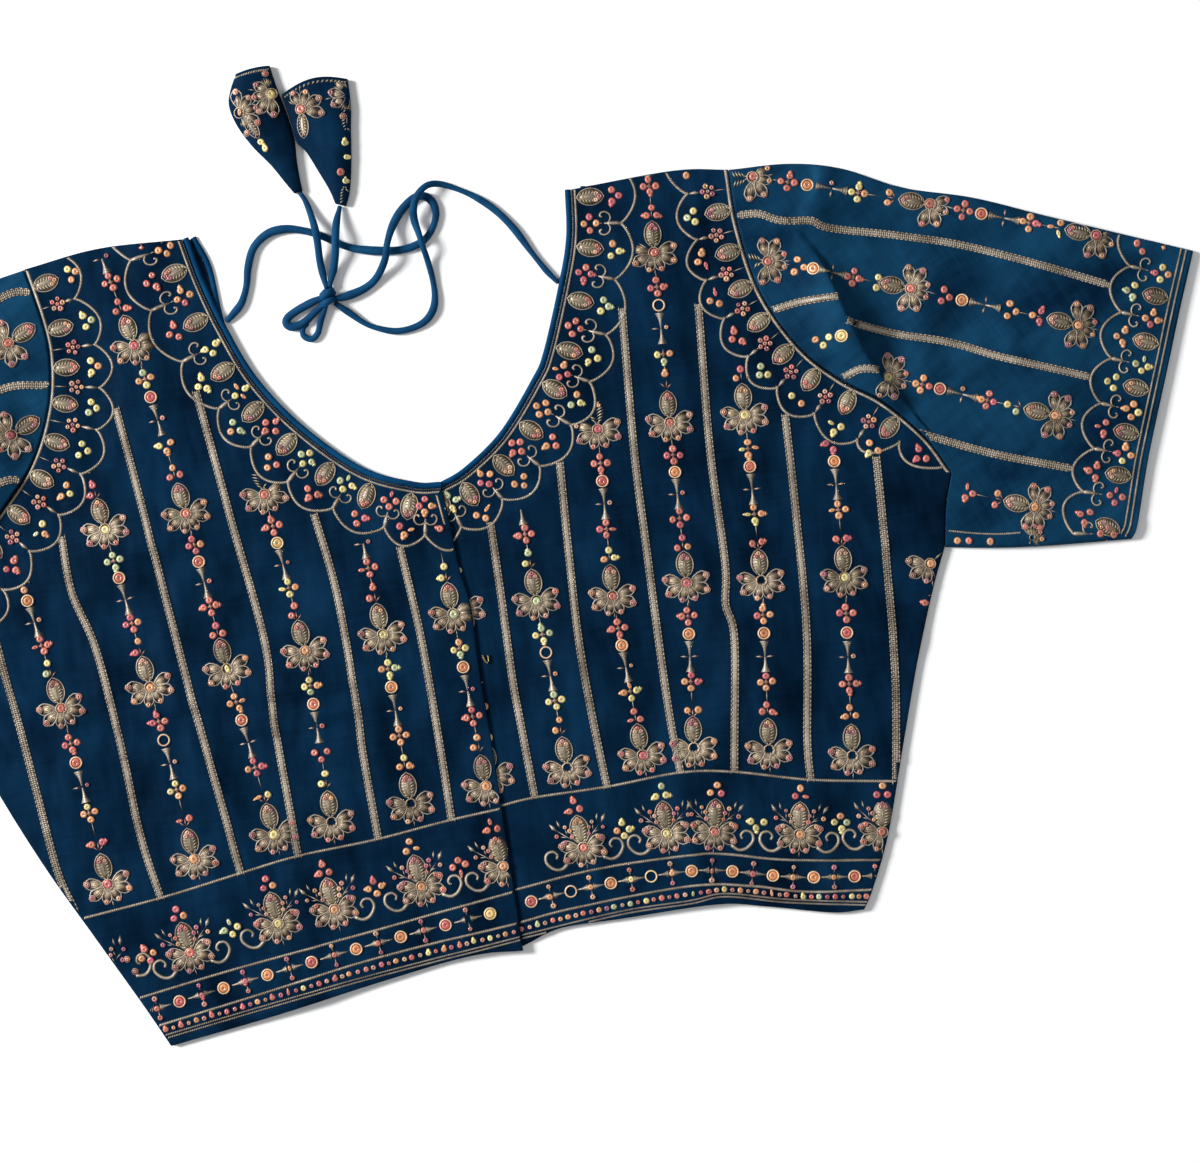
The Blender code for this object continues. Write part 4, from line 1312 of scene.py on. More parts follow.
def make_stamps():
    """Models each motif and bit once, for every face to copy."""
    sequin = joined([model_sequin(), grains([(-0.9, 0.1)], [(0.9, -0.1)], 0.5, 0.75, 0.95)])
    drop = joined([sequin, grains([(0, 0.5)], [(0, SEQUIN_RADIUS + 1.3)], SEQUIN_RADIUS * 1.5, 0.4, 1.1)])
    rim = stroke(ring_line((0, 0), MEDALLION_RADIUS - 0.5, 14), 1.0, 0.7, 1.0, True)
    return {"motifs": motif_table(), "sequin": sequin, "drop": drop, "bead": model_bead(), "rim": rim}


# ---------------------------------------------------------------- colours and materials


# How far the sleeves' threads are turned from the body's, and the cord's from its length
ACROSS_TURN = 1.17
CORD_TURN = 0.7


def linear(code):
    """An sRGB hex colour as linear red, green, blue and alpha."""
    shares = [int(code[i:i + 2], 16) / 255 for i in (0, 2, 4)]
    return tuple(c / 12.92 if c <= 0.04045 else ((c + 0.055) / 1.055) ** 2.4 for c in shares) + (1.0,)


def add_node(tree, kind, links=None, **settings):
    """A shader node with its settings, and its sockets set to values or linked from other nodes' outputs."""
    made = tree.nodes.new("ShaderNode" + kind)
    for name, value in settings.items():
        setattr(made, name, value)
    for socket, source in (links or {}).items():
        if isinstance(source, bpy.types.NodeSocket):
            tree.links.new(source, made.inputs[socket])
        else:
            made.inputs[socket].default_value = source
    return made


def material(name, fill, *looks, **more):
    """The material of that name. At first use, fill makes its nodes and says what the shader gets."""
    found = bpy.data.materials.get(name)
    if found:
        return found
    made = bpy.data.materials.new(name)
    made.use_nodes = True
    tree = made.node_tree
    tree.nodes.clear()
    shader = add_node(tree, "BsdfPrincipled", fill(tree, *looks, **more))
    add_node(tree, "OutputMaterial", {"Surface": shader.outputs[0]})
    return made


def object_place(tree):
    return add_node(tree, "TexCoord").outputs["Object"]


def dye_of(tree):
    """The colour that each point of the mesh has of its own."""
    return add_node(tree, "Attribute", attribute_name="dye").outputs["Color"]


def worked_out(tree, operation, *values):
    """A number worked out from others."""
    return add_node(tree, "Math", dict(enumerate(values)), operation=operation).outputs[0]


def blend(tree, factor, first, second, kind="MIX"):
    """The second colour mixed into the first, or the two multiplied."""
    sockets = {"Factor": factor, "A": first, "B": second}
    return add_node(tree, "Mix", sockets, data_type="RGBA", blend_type=kind).outputs["Result"]


def bumped(tree, height, strength, distance, **more):
    """The surface's normals over bumps that are distance millimetres high."""
    sockets = {"Strength": strength, "Distance": distance * MM, "Height": height, **more}
    return add_node(tree, "Bump", sockets).outputs[0]


def ramp(tree, factor, low, high, start, end):
    """A colour between low and high as the factor goes from start to end."""
    made = add_node(tree, "ValToRGB", {"Fac": factor})
    for element, position, shown in zip(made.color_ramp.elements, (start, end), (low, high)):
        element.position = position
        element.color = shown
    return made.outputs[0]


def scaled_noise(tree, place, size, detail=2.0, roughness=0.5):
    """Noise whose features are size millimetres long along x, y and z."""
    mapping = add_node(tree, "Mapping", {"Vector": place, "Scale": [1 / (s * MM) for s in size]})
    sockets = {"Vector": mapping.outputs[0], "Scale": 1.0, "Detail": detail, "Roughness": roughness}
    return add_node(tree, "TexNoise", sockets).outputs["Fac"]


def slub_cloth(tree, shade, base, light, roughness=0.6, across=False):
    """Dupion cotton silk, woven with uneven weft threads: fine slubs across, and a soft sheen on its folds.

    The real threads are 0.25 mm apart, too fine to show, so they are drawn about 0.9 mm apart.
    """
    turned = {"Vector": object_place(tree), "Rotation": (0, 0, ACROSS_TURN if across else 0)}
    turned = add_node(tree, "Mapping", turned).outputs[0]
    weft = scaled_noise(tree, turned, (14, 0.8, 14), 3.0, 0.6)
    warp = scaled_noise(tree, turned, (0.9, 10, 10))
    slub = scaled_noise(tree, turned, (26, 2.4, 20))
    patch = scaled_noise(tree, turned, (32, 44, 40), 3.0)
    crumple = scaled_noise(tree, turned, (22, 44, 30))
    threads = worked_out(tree, "ADD", weft, warp)
    slubs = worked_out(tree, "ADD", slub, threads)
    coarse = worked_out(tree, "MULTIPLY", patch, 0.7)
    share = worked_out(tree, "MULTIPLY_ADD", slubs, 0.1, coarse)
    body = ramp(tree, share, shade, light, 0.35, 0.65)
    colour = blend(tree, 0.3, body, base)
    soft = bumped(tree, crumple, 1.0, 5)
    normal = bumped(tree, threads, 0.22, 0.25, Normal=soft)
    return {"Base Color": colour, "Roughness": roughness, "Specular IOR Level": 0.012, "Normal": normal}


def turned_cord(tree, shade, light):
    """Cotton silk cut on the bias, sewn to a tube and turned: smooth and close, with slanting threads."""
    around = add_node(tree, "UVMap", uv_map="around").outputs[0]
    slant = {"Vector": around, "Rotation": (0, 0, CORD_TURN), "Scale": (14, 9, 1)}
    slanted = add_node(tree, "Mapping", slant)
    waves = {"Scale": 1.6, "Distortion": 2.0, "Detail": 2.0, "Detail Scale": 2.0}
    weave = add_node(tree, "TexWave", {"Vector": slanted.outputs[0], **waves}).outputs["Fac"]
    patch = scaled_noise(tree, object_place(tree), (9, 9, 9), 3.0, 0.6)
    share = worked_out(tree, "MULTIPLY_ADD", weave, 0.25, patch)
    normal = bumped(tree, weave, 0.25, 0.2)
    return {"Base Color": ramp(tree, share, shade, light, 0.3, 0.9), "Roughness": 0.55,
            "Specular IOR Level": 0.05, "Normal": normal}


def zari_thread(tree, shade, light):
    """Tested zari: a flat metal strip wound on a thread. Dull antique gold that glints where it crowns."""
    dye = dye_of(tree)
    place = object_place(tree)
    wound = scaled_noise(tree, place, (0.7, 0.7, 0.7), 2.0, 0.6)
    wear = scaled_noise(tree, place, (11, 11, 11))
    share = worked_out(tree, "MULTIPLY", worked_out(tree, "ADD", wound, wear), 0.5)
    colour = blend(tree, 1.0, ramp(tree, share, shade, light, 0.34, 0.68), dye, "MULTIPLY")
    normal = bumped(tree, wound, 0.35, 0.2)
    return {"Base Color": colour, "Metallic": 0.35, "Roughness": 0.45, "Normal": normal}


def dyed_finish(tree, roughness, coat, size, strength):
    """A small shiny bit in its own dye, a little lighter and darker in patches of that size."""
    dye = dye_of(tree)
    cloudy = scaled_noise(tree, object_place(tree), (size, size, size))
    lit = ramp(tree, cloudy, (0.78, 0.74, 0.72, 1), (1.12, 1.1, 1.08, 1), 0.3, 0.7)
    colour = blend(tree, 1.0, dye, lit, "MULTIPLY")
    normal = bumped(tree, cloudy, strength, 0.1)
    return {"Base Color": colour, "Roughness": roughness, "Coat Weight": coat, "Coat Roughness": 0.15,
            "Normal": normal}


def drawn_brass(tree):
    """Drawn brass wire: lines along it from the die, and duller where it has tarnished."""
    lines = scaled_noise(tree, object_place(tree), (3, 0.3, 0.3))
    normal = bumped(tree, lines, 0.15, 0.05)
    colour = ramp(tree, lines, linear("8E7A4A"), linear("D9C690"), 0.3, 0.7)
    return {"Base Color": colour, "Metallic": 1.0, "Roughness": 0.32, "Normal": normal}


def matt_paper(tree, colour):
    """The studio's matt paper, with a faint tooth."""
    tooth = scaled_noise(tree, object_place(tree), (4, 4, 4))
    return {"Base Color": colour, "Roughness": 0.9, "Normal": bumped(tree, tooth, 0.05, 0.1)}


# ---------------------------------------------------------------- settings


def colour(name, description, code):
    """A colour setting."""
    return FloatVectorProperty(
        name=name, description=description, default=linear(code), size=4, subtype="COLOR", min=0, max=1)


class CHOLI_PG_cloth(bpy.types.PropertyGroup):
    shade: colour("Shade", "The cloth's darkest threads", "02101F")
    base: colour("Base", "The cloth's own colour", "021327")
    light: colour("Light", "The cloth's lightest threads", "0A2C47")
    # Painted light: the sleeves' lightest colour, lighter than the body's, where the sleeves lie towards the
    # light
    bright: colour("Bright", "The sleeves' lightest threads, which lie the other way", "14425F")
    cord_shade: colour("Cord shade", "Tie strings and neck binding, their darker threads", "042A4A")
    cord_light: colour("Cord light", "Tie strings and neck binding, their lighter threads", "0E466C")
    fineness: IntProperty(
        name="Fineness", description="Rows of the cloth's mesh for each row of the cut", default=7, min=2,
        max=10)


class CHOLI_PG_needlework(bpy.types.PropertyGroup):
    zari_shade: colour("Zari shade", "The gold thread's duller stretches", "6B6052")
    zari_light: colour("Zari light", "The gold thread's brighter stretches", "B4A999")
    coral: colour("Coral", "Coral sequins", "C67768")
    rose: colour("Rose", "Pinker sequins among them", "BF686C")
    peach: colour("Peach", "Peach sequins", "D69C70")
    lemon: colour("Lemon", "Pale yellow sequins", "DBCD8C")
    leaf_green: colour("Leaf green", "A few pale green sequins", "B4BE94")
    cream: colour("Cream", "The medallions' rims", "DCC3A0")
    bead: colour("Bead", "The petals' seed beads", "B38078")
    stripe_width: FloatProperty(
        name="Stripe width", description="Width of the embroidered stripes", default=4.1 * MM, min=1 * MM,
        max=8 * MM, unit="LENGTH")


class CHOLI_PG_stage(bpy.types.PropertyGroup):
    floor: colour("Floor", "The studio floor's colour", "F6F6F5")
    view_width: FloatProperty(
        name="View width", description="Width of floor that the camera takes in", default=0.6, min=0.1, max=3,
        unit="LENGTH")
    lens: FloatProperty(
        name="Lens", description="The camera's focal length", default=85, min=20, max=200, unit="CAMERA")
    key_power: FloatProperty(
        name="Key light", description="Power of the large window light", default=150.0, min=0, max=200,
        unit="POWER")
    fill_power: FloatProperty(
        name="Fill light", description="Power of the soft light overhead", default=2.5, min=0, max=200,
        unit="POWER")
    sky: FloatProperty(
        name="Sky", description="Strength of the light from all round", default=0.33, min=0, max=5,
        subtype="FACTOR")


class CHOLI_PG_settings(bpy.types.PropertyGroup):
    cloth: PointerProperty(type=CHOLI_PG_cloth)
    needlework: PointerProperty(type=CHOLI_PG_needlework)
    stage: PointerProperty(type=CHOLI_PG_stage)


def settings():
    return bpy.context.scene.choli


def cloth_finish(sleeve=False):
    """The same cloth for every panel. A sleeve's threads run the other way, and its colours are lighter:
    painted light, where the sleeves lie towards the light.
    """
    s = settings().cloth
    if sleeve:
        # Painted light: the sleeves take the body's colours one step lighter, with the sleeves' painted light
        # colour at the top
        return material("dupion_cotton_silk_across_painted_light", slub_cloth, s.base, s.light, s.bright, across=True)
    return material("dupion_cotton_silk", slub_cloth, s.shade, s.base, s.light)


def cord_finish():
    s = settings().cloth
    return material("bias_cotton_silk_tube", turned_cord, s.cord_shade, s.cord_light)


def binding_finish():
    s = settings().cloth
    return material("bias_cotton_silk_binding", slub_cloth, s.cord_shade, s.cord_shade, s.cord_light, 0.5)


def zari_finish():
    s = settings().needlework
    return material("tested_zari_thread", zari_thread, s.zari_shade, s.zari_light)


def sequin_finish():
    return material("pearl_dyed_film", dyed_finish, 0.3, 0.35, 5.0, 0.1)


def bead_finish():
    return material("lustre_glass_bead", dyed_finish, 0.2, 0.5, 1.5, 0.05)


# ---------------------------------------------------------------- sewing on a face


# The shares of sequins up to each dye but the last; and how many are still in place, come to a point, stand
# on edge, or fill their medallion's rim
SEQUIN_SHARES = (0.3, 0.44, 0.72, 0.95)
SEQUINS_LEFT = 0.985
POINTED = 0.3
ON_EDGE = 0.05
FILLED = 0.88
SEQUIN_TILT = 0.12
MEDALLION_FILL = (0.98, 0.8, 0.7)
BEAD_TINTS = ((1, 1, 1), (0.8, 0.62, 0.9), (1.15, 1.5, 1.25), (1.1, 0.8, 0.75), (1.2, 1.4, 0.9))
OVERLAP = 0.98
BED_STEP = 2.2
RUNG_STEP = 1.05
ROPE_PITCH = 0.95
ROPE_SLANT = 0.62


def sequin_dyes(at, mood, rng):
    """A dye for each sequin: coral, rose, peach, yellow or green. Each area drifts its own way."""
    s = settings().needlework
    dyes = np.array([s.coral[:3], s.rose[:3], s.peach[:3], s.lemon[:3], s.leaf_green[:3]])
    x, y = at[:, 0], at[:, 1]
    drift = 0.5 * np.sin(x * 0.031 + 1.1 + np.sin(y * 0.02))
    drift = drift + 0.5 * np.sin(y * 0.037 - x * 0.012 + 0.6)
    pick = mood + rng.normal(0, 0.13, len(at)) + 0.14 * drift
    picked = dyes[np.searchsorted(SEQUIN_SHARES, np.clip(pick, 0, 0.999))]
    return picked * rng.uniform(0.88, 1.1, (len(at), 1))


class Sewing:
    """Threads, sequins and beads that are sewn together on one face."""

    stamps = {}

    def __init__(self, face, seed):
        if not self.stamps:
            self.stamps.update(make_stamps())
        self.threads = Needlework(face, seed)
        self.sequins = Needlework(face, seed + 100)
        self.beads = Needlework(face, seed + 200)
        self.rng = np.random.default_rng(seed + 300)

    def motif(self, name, at, turn=0.0, size=1.0):
        """Copies of a motif at plan points, +v along each one's turn."""
        at = np.atleast_2d(np.asarray(at, float))
        turn = np.broadcast_to(turn, len(at))
        stamp, sequins, medallions, beads = self.stamps["motifs"][name]
        if stamp is not None:
            self.threads.sew(stamp, at, turn, size, self.rng.uniform(0.88, 1.1, len(at)))
        self.cluster(at, turn, sequins, size)
        for offset in medallions:
            self.medallion(self.moved(at, turn, np.array(offset) * size))
        for offset in beads:
            self.bead(self.moved(at, turn, np.array(offset) * size))

    def cluster(self, at, turn, places, size=1.0):
        """Sequins at the same places round each plan point, their points outwards."""
        mood = self.rng.random(len(at))
        for u, v, *scale in places:
            outward = turn + math.atan2(-u, v) if len(places) > 1 else turn
            self.sequin(self.moved(at, turn, np.array((u, v)) * size), outward, *scale, mood=mood)

    @staticmethod
    def moved(at, turn, offset):
        """Plan points moved by an offset in each one's own directions."""
        c, s = np.cos(turn), np.sin(turn)
        return at + np.column_stack([offset[0] * c - offset[1] * s, offset[0] * s + offset[1] * c])

    def sequin(self, at, turn=0.0, scale=1.0, mood=None):
        """Sequins, each a little off its place and leaning its own way."""
        at = np.atleast_2d(at)
        left = (self.rng.random(len(at)) < SEQUINS_LEFT) | (scale > 1)
        mood = (self.rng.random(len(at)) if mood is None else mood)[left]
        turn = np.broadcast_to(turn, len(at))[left] + self.rng.uniform(-0.25, 0.25, left.sum())
        at = at[left] + self.rng.normal(0, 0.2, (left.sum(), 2))
        size = scale * self.rng.uniform(0.85, 1.0, (len(at), 2))
        size[self.rng.random(len(at)) < ON_EDGE, 0] *= 0.55
        dyes = sequin_dyes(at, mood, self.rng)
        drop = (self.rng.random(len(at)) < POINTED) & (scale <= 1)
        for chosen, name in ((drop, "drop"), (~drop, "sequin")):
            looks = (part[chosen] for part in (at, turn, size, dyes))
            self.sequins.sew(self.stamps[name], *looks, tilt=SEQUIN_TILT)

    def medallion(self, at):
        """A sequin inside a rim of wound thread."""
        at = np.atleast_2d(at)
        dyes = sequin_dyes(at, 0.1 + 0.6 * self.rng.random(len(at)), self.rng)
        cream = np.array(settings().needlework.cream[:3])
        self.sequins.sew(self.stamps["rim"], at, 0.0, 1.0, 0.8 * cream + 0.2 * dyes)
        filled = self.rng.random(len(at)) < FILLED
        turn = self.rng.uniform(0, 6, filled.sum())
        dyes = dyes[filled] * MEDALLION_FILL
        self.sequins.sew(self.stamps["sequin"], at[filled], turn, 1.2, dyes, lift=0.1)

    def bead(self, at, scale=1.0):
        """Seed beads, each of its own size and tint."""
        at = np.atleast_2d(at)
        dye = np.array(settings().needlework.bead[:3]) * self.rng.uniform(0.7, 1.2, (len(at), 1))
        dye = dye * self.rng.choice(BEAD_TINTS, len(at))
        self.beads.sew(self.stamps["bead"], at, 0.0, scale * self.rng.uniform(0.85, 1.15, len(at)), dye)

    def rope(self, route, width, tone=1.1, smooth=True):
        """A corded line: short stitches that overlap at a slant."""
        line = stepped(route, ROPE_PITCH) if smooth else np.asarray(route, float)
        run = directions(line)
        lean = run * math.cos(ROPE_SLANT) + left_of(run) * math.sin(ROPE_SLANT)
        reach = lean * (width / 2 / math.sin(ROPE_SLANT) * OVERLAP)
        tones = tone * self.rng.uniform(0.82, 1.1, len(line))
        self.threads.parts.append(grains(line - reach, line + reach, width * 0.85, 0.6, tones))

    def stripe(self, route, width):
        """An embroidered stripe: close rungs that lean to and fro, and a light thread on each edge."""
        parts = self.threads.parts
        bed = stepped(route, BED_STEP)
        parts.append(stroke(bed, width * 0.92, 0.32, 0.86))
        line = stepped(route, RUNG_STEP)
        across = side_normals(line)
        run = directions(line)
        for side in (-1, 1):
            lean = run * (0.35 + self.rng.uniform(-0.2, 0.2, (len(line), 1)))
            half = side * width / 2 * self.rng.uniform(0.94, 1.04, (len(line), 1))
            tones = self.rng.uniform(0.88, 1.08, len(line))
            starts = line - across * side * 0.8 - lean
            parts.append(grains(starts, line + across * half + lean, 1.5, 0.5, tones))
            edge = bed + side_normals(bed) * side * (width / 2 - 0.4)
            along = directions(edge) * 1.7
            tones = self.rng.uniform(0.95, 1.2, len(edge))
            parts.append(grains(edge - along, edge + along, 0.85, 0.66, tones))

    def lay(self, group, place, extra=None):
        """Lays the threads, the sequins and the beads, each as one piece named for its group and place."""
        self.threads.lay(f"{group}_threads_{place}", zari_finish(), extra)
        self.sequins.lay(f"{group}_sequins_{place}", sequin_finish(), extra)
        self.beads.lay(f"{group}_beads_{place}", bead_finish(), extra)


# ---------------------------------------------------------------- the pieces' plans and faces


# Halves of the body. Columns: edges, side of the neck's line that the cloth is on, front
HALVES = {"left": (OVER_EDGES, -1, "front_over"), "right": (UNDER_EDGES, 1, "front_under")}
FRONTS = {"front_over": ("left", over_top), "front_under": ("right", under_top)}
PLAN_FINENESS = 3
PLAN_COLUMNS = 16
UNDERLAP_COLUMNS = 12
SHOWN_UNDERLAP = 8.0
# How finely the outlines of a sleeve and a tassel are drawn
SLEEVE_PLAN = 30
TASSEL_PLAN = (12, 10)


def front_grid(piece, fineness, columns):
    """Plan points of a front, from its centre edge to its side."""
    edges, turn, _ = HALVES[FRONTS[piece][0]]
    return panel_grid(edges["neck"], edges["centre"], edges, turn, fineness, columns, edges["hem"])


def back_half(side, fineness, columns):
    """Plan points of half the back, from its middle to its side."""
    edges, turn, _ = HALVES[side]
    centre = ((0, 0), BACK_HEM_CENTRE)
    hem = (BACK_HEM_CENTRE,) + edges["hem"][1:]
    return panel_grid(BACK_NECK[side], centre, edges, turn, fineness, columns, hem)


def with_underlap(grid, fineness):
    """The lower front's grid with the strip that the lap covers, and where it has cloth."""
    share = np.linspace(1, 0, UNDERLAP_COLUMNS + 1)[None, :-1, None]
    strip = grid[:, :1] - share * np.array([UNDERLAP, 0])
    whole = np.concatenate([strip, grid], axis=1)
    keep = np.ones((whole.shape[0] - 1, whole.shape[1] - 1), bool)
    keep[: row_counts(fineness)[0] + 1, :UNDERLAP_COLUMNS] = False
    return whole, keep


def both_halves(fineness, columns):
    """The back's grid, from its left side to its right one, and where it has cloth."""
    left, right = (back_half(side, fineness, columns) for side in ("left", "right"))
    whole = np.concatenate([left[:, ::-1], right], axis=1)
    keep = np.ones((whole.shape[0] - 1, whole.shape[1] - 1), bool)
    keep[:, left.shape[1] - 1] = False
    return whole, keep


def armhole_line(side, fineness):
    """The armhole and tuck of a sleeve, a gap away from the body's."""
    edges, turn, _ = HALVES[side]
    line = outer_edge(edges, fineness)[: sum(row_counts(fineness)[:2]) + 1]
    return inset_line(line, turn, GAP)


def sleeve_grid(side, shares, stations):
    """Plan points of a sleeve: rows from the armhole to the cuff, columns from the top fold to the bottom."""
    more = SLEEVE_EDGES[side]
    arm = armhole_line(side, PLAN_FINENESS)
    armhole = at_line_shares(arm, shares)
    cuff = at_shares(more["cuff"], shares)
    top_fold = at_shares((tuple(armhole[0]),) + more["top"][1:], stations)
    bottom_fold = at_shares((tuple(armhole[-1]),) + more["bottom"][1:], stations)
    return coons_at(armhole, cuff, top_fold, bottom_fold, shares)


def sleeve_outline(side):
    shares = np.linspace(0, 1, SLEEVE_PLAN)
    return grid_outline(sleeve_grid(side, shares, shares))


def back_outline():
    left, right = (back_half(side, PLAN_FINENESS, PLAN_COLUMNS) for side in ("left", "right"))
    corner = row_counts(PLAN_FINENESS)[0] + 1
    return np.vstack([left[0], left[:, -1], left[-1, ::-1], right[-1], right[::-1, -1], right[0, ::-1],
                      right[:corner, 0], left[corner::-1, 0]])


def face_of(piece):
    """The outer face of a piece whose cloth has been made, for needlework."""
    cloth = bpy.data.objects["cloth_" + piece]
    if piece == "back":
        return Face(back_face, back_outline(), cloth, -1)
    if piece in FRONTS:
        grid = front_grid(piece, PLAN_FINENESS, PLAN_COLUMNS)
        if piece == "front_under":
            grid[row_counts(PLAN_FINENESS)[0] + 1 :, 0, 0] -= SHOWN_UNDERLAP
        return Face(FRONTS[piece][1], grid_outline(grid), cloth)
    if piece in TASSELS:
        plan = tassel_grid(piece, *TASSEL_PLAN)[0]
        return Face(lambda x, y: tassel_top(x, y, piece), grid_outline(plan), cloth)
    side = piece.split("_")[1]
    return Face(lambda x, y: sleeve_top(x, y, side), sleeve_outline(side), cloth)


def sleeve_underface(side):
    cloth = bpy.data.objects["cloth_sleeve_" + side]
    return Face(lambda x, y: sleeve_bottom(x, y, side), sleeve_outline(side), cloth, -1)


# ---------------------------------------------------------------- cloth pieces


# Columns of a panel's mesh for each step of its fineness. The back, which is under it all, is coarser
FRONT_COLUMNS = 13
BACK_COLUMNS = 8
BACK_FINENESS = 0.6
BACK_CLOTH = 0.75
SLEEVE_STEP = 1.4
# The sleeve's grid is this much longer along the pleats than over them
ALONG_THE_PLEATS = 1.25
SLEEVE_EDGE_ROWS = (0.25, 0.6, 1.1, 1.7)
SLEEVE_LINING_INSET = 1.1
SLEEVE_LINING_STATIONS = 24
# How much of the sleeve's folds its inner skin has
SLEEVE_LINING_FOLDS = 0.8

TASSEL_GRID = (34, 22)
# Heights of a tassel's edge, outside and inside, and how its inner skin differs from the outer one: share of
# the width, share of the first row that it starts after, drop from the top, least height, rise at the back
TASSEL_EDGE = 1.2
TASSEL_INNER_EDGE = 1.25
TASSEL_INNER_WIDTH = 0.9
TASSEL_INNER_START = 0.8
TASSEL_INNER_DROP = 0.7
TASSEL_INNER_LEAST = 1.5
TASSEL_INNER_RISE = 0.6


def make_front(piece):
    """A front panel. The lower one goes on under the lap."""
    fineness = settings().cloth.fineness
    grid = front_grid(piece, fineness, FRONT_COLUMNS * fineness)
    keep = None
    if piece == "front_under":
        grid, keep = with_underlap(grid, fineness)
    top = FRONTS[piece][1](grid[..., 0], grid[..., 1])
    verts, faces = shell(grid, top, top - CLOTH, keep)
    cloth = mesh_object("cloth_" + piece, verts, faces, cloth_finish(), slot="cloth", replaces=(piece,))


def make_back():
    """The back panel, which lies under the fronts and shows in the neck."""
    fineness = max(2, round(settings().cloth.fineness * BACK_FINENESS))
    grid, keep = both_halves(fineness, BACK_COLUMNS * fineness)
    face = back_face(grid[..., 0], grid[..., 1])
    verts, faces = shell(grid, face + BACK_CLOTH, face, keep)
    cloth = mesh_object("cloth_back", verts, faces, cloth_finish(), slot="cloth", replaces=("back",))


def sleeve_rings(side):
    """Outer and inner rings of a sleeve, from the armhole to the cuff."""
    length = lengths_along(armhole_line(side, PLAN_FINENESS))[-1]
    beside = np.array(SLEEVE_EDGE_ROWS) / length
    between = np.linspace(0, 1, round(length / SLEEVE_STEP / ALONG_THE_PLEATS))[1:-1]
    shares = np.concatenate([[0], beside, between, 1 - beside[::-1], [1]])
    reach = route_length(SLEEVE_EDGES[side]["top"])
    grid = sleeve_grid(side, shares, np.linspace(0, 1, round(reach / SLEEVE_STEP)))
    x, y = grid[..., 0], grid[..., 1]
    outer = ring_stack(grid, sleeve_top(x, y, side), sleeve_bottom(x, y, side), FOLD_MIDDLE)
    inset = SLEEVE_LINING_INSET / length
    stations = np.linspace(0, 1, SLEEVE_LINING_STATIONS)
    grid = sleeve_grid(side, inset + shares * (1 - 2 * inset), stations)
    x, y = grid[..., 0], grid[..., 1]
    high = SLEEVE_TOP + folds_height(x, y, SLEEVE_FOLDS[side]) * SLEEVE_LINING_FOLDS - CLOTH
    drop = fold_drop(x, y, side) / FOLD_RADIUS
    low = STITCH_ROOM + CLOTH
    high = high - (high - FOLD_MIDDLE) * drop
    return outer, ring_stack(grid, high, low + (FOLD_MIDDLE - low) * drop, FOLD_MIDDLE)


def ring_stack(grid, top, bottom, middle):
    """Rings that go out along a grid's columns at the top height, and back below along every second one."""
    heights = top.copy()
    heights[:, [0, -1]] = middle
    upper = np.dstack([grid, heights])
    lower = np.dstack([grid, bottom])[:, -2:0:-2]
    return np.concatenate([upper, lower], axis=1)


def make_sleeve(side):
    """A sleeve laid flat: a tube of cloth that is open at the armhole and the cuff."""
    verts, faces = flat_tube(*sleeve_rings(side))
    cloth = mesh_object("cloth_sleeve_" + side, verts, faces, cloth_finish(sleeve=True), slot="cloth",
                        replaces=("sleeve_" + side,))


def make_tassel(piece):
    """A flattened cone of two faces, with its lining set in from them."""
    plan, top = tassel_grid(piece, *TASSEL_GRID)
    low = np.full(top.shape, STITCH_ROOM)
    outer = ring_stack(plan, top, low, TASSEL_EDGE)
    middle = plan.mean(axis=1, keepdims=True)
    inner_plan = middle + (plan - middle) * TASSEL_INNER_WIDTH
    inner_plan[0] += (plan[1] - plan[0]) * TASSEL_INNER_START
    inner_top = np.maximum(top - TASSEL_INNER_DROP, TASSEL_INNER_LEAST)
    inner = ring_stack(inner_plan, inner_top, low + TASSEL_INNER_RISE, TASSEL_INNER_EDGE)
    verts, faces = flat_tube(outer, inner, closed_start=True)
    cloth = mesh_object("cloth_" + piece, verts, faces, cloth_finish(), slot="tassel", replaces=(piece,))


BINDING_STEP = 1.5
# The lower front's binding goes on under the lap, to this point
BINDING_TUCK = ((-3.0, 117.8),)
# The binding's section. Columns: distance from the neck's edge, height
BINDING_SECTION = (
    (0.05, 0.5), (0.3, 1.15), (0.8, 1.5), (1.4, 1.6), (2.0, 1.5), (2.5, 1.15), (2.75, 0.75), (3.1, 0.6),
    (3.0, 0.15), (0.2, 0.15),
)


def binding_rings(route, side, base=None):
    """The binding's section carried along a neck's edge, on a face of the cloth or on the floor."""
    edge = stepped(route, BINDING_STEP)
    section = np.array(BINDING_SECTION)
    plan = edge[:, None] + neck_normals(edge, side)[:, None] * section[None, :, :1]
    x, y = plan[..., 0], plan[..., 1]
    low = np.full(x.shape, CLEARANCE) if base is None else base(x, y) - WALL
    return np.dstack([plan, low + section[None, :, 1]])


def make_binding(place, rings):
    """A bound neck edge from its sections, with its ends closed."""
    walls, caps = tube_faces(rings.shape[1], len(rings))
    verts = np.vstack([rings.reshape(-1, 3), rings[[0, -1]].mean(axis=1)])
    binding = mesh_object("binding_" + place, verts * MM, np.vstack([walls, caps]), binding_finish(),
                          slot="piping", replaces=("piping_" + place,))


def make_bindings():
    """The bound neck edge: a strip on each front, and one all round the back neck."""
    for side, (edges, turn, front) in HALVES.items():
        route = edges["neck"] + (BINDING_TUCK if front == "front_under" else ())
        make_binding(front, binding_rings(route, turn, FRONTS[front][1]))
    left, right = (binding_rings(BACK_NECK[side], HALVES[side][1]) for side in HALVES)
    make_binding("back", np.concatenate([left, right[-2::-1]]))


# ---------------------------------------------------------------- ties


TIE_STEP = 1.6
BOW_STEP = 0.8
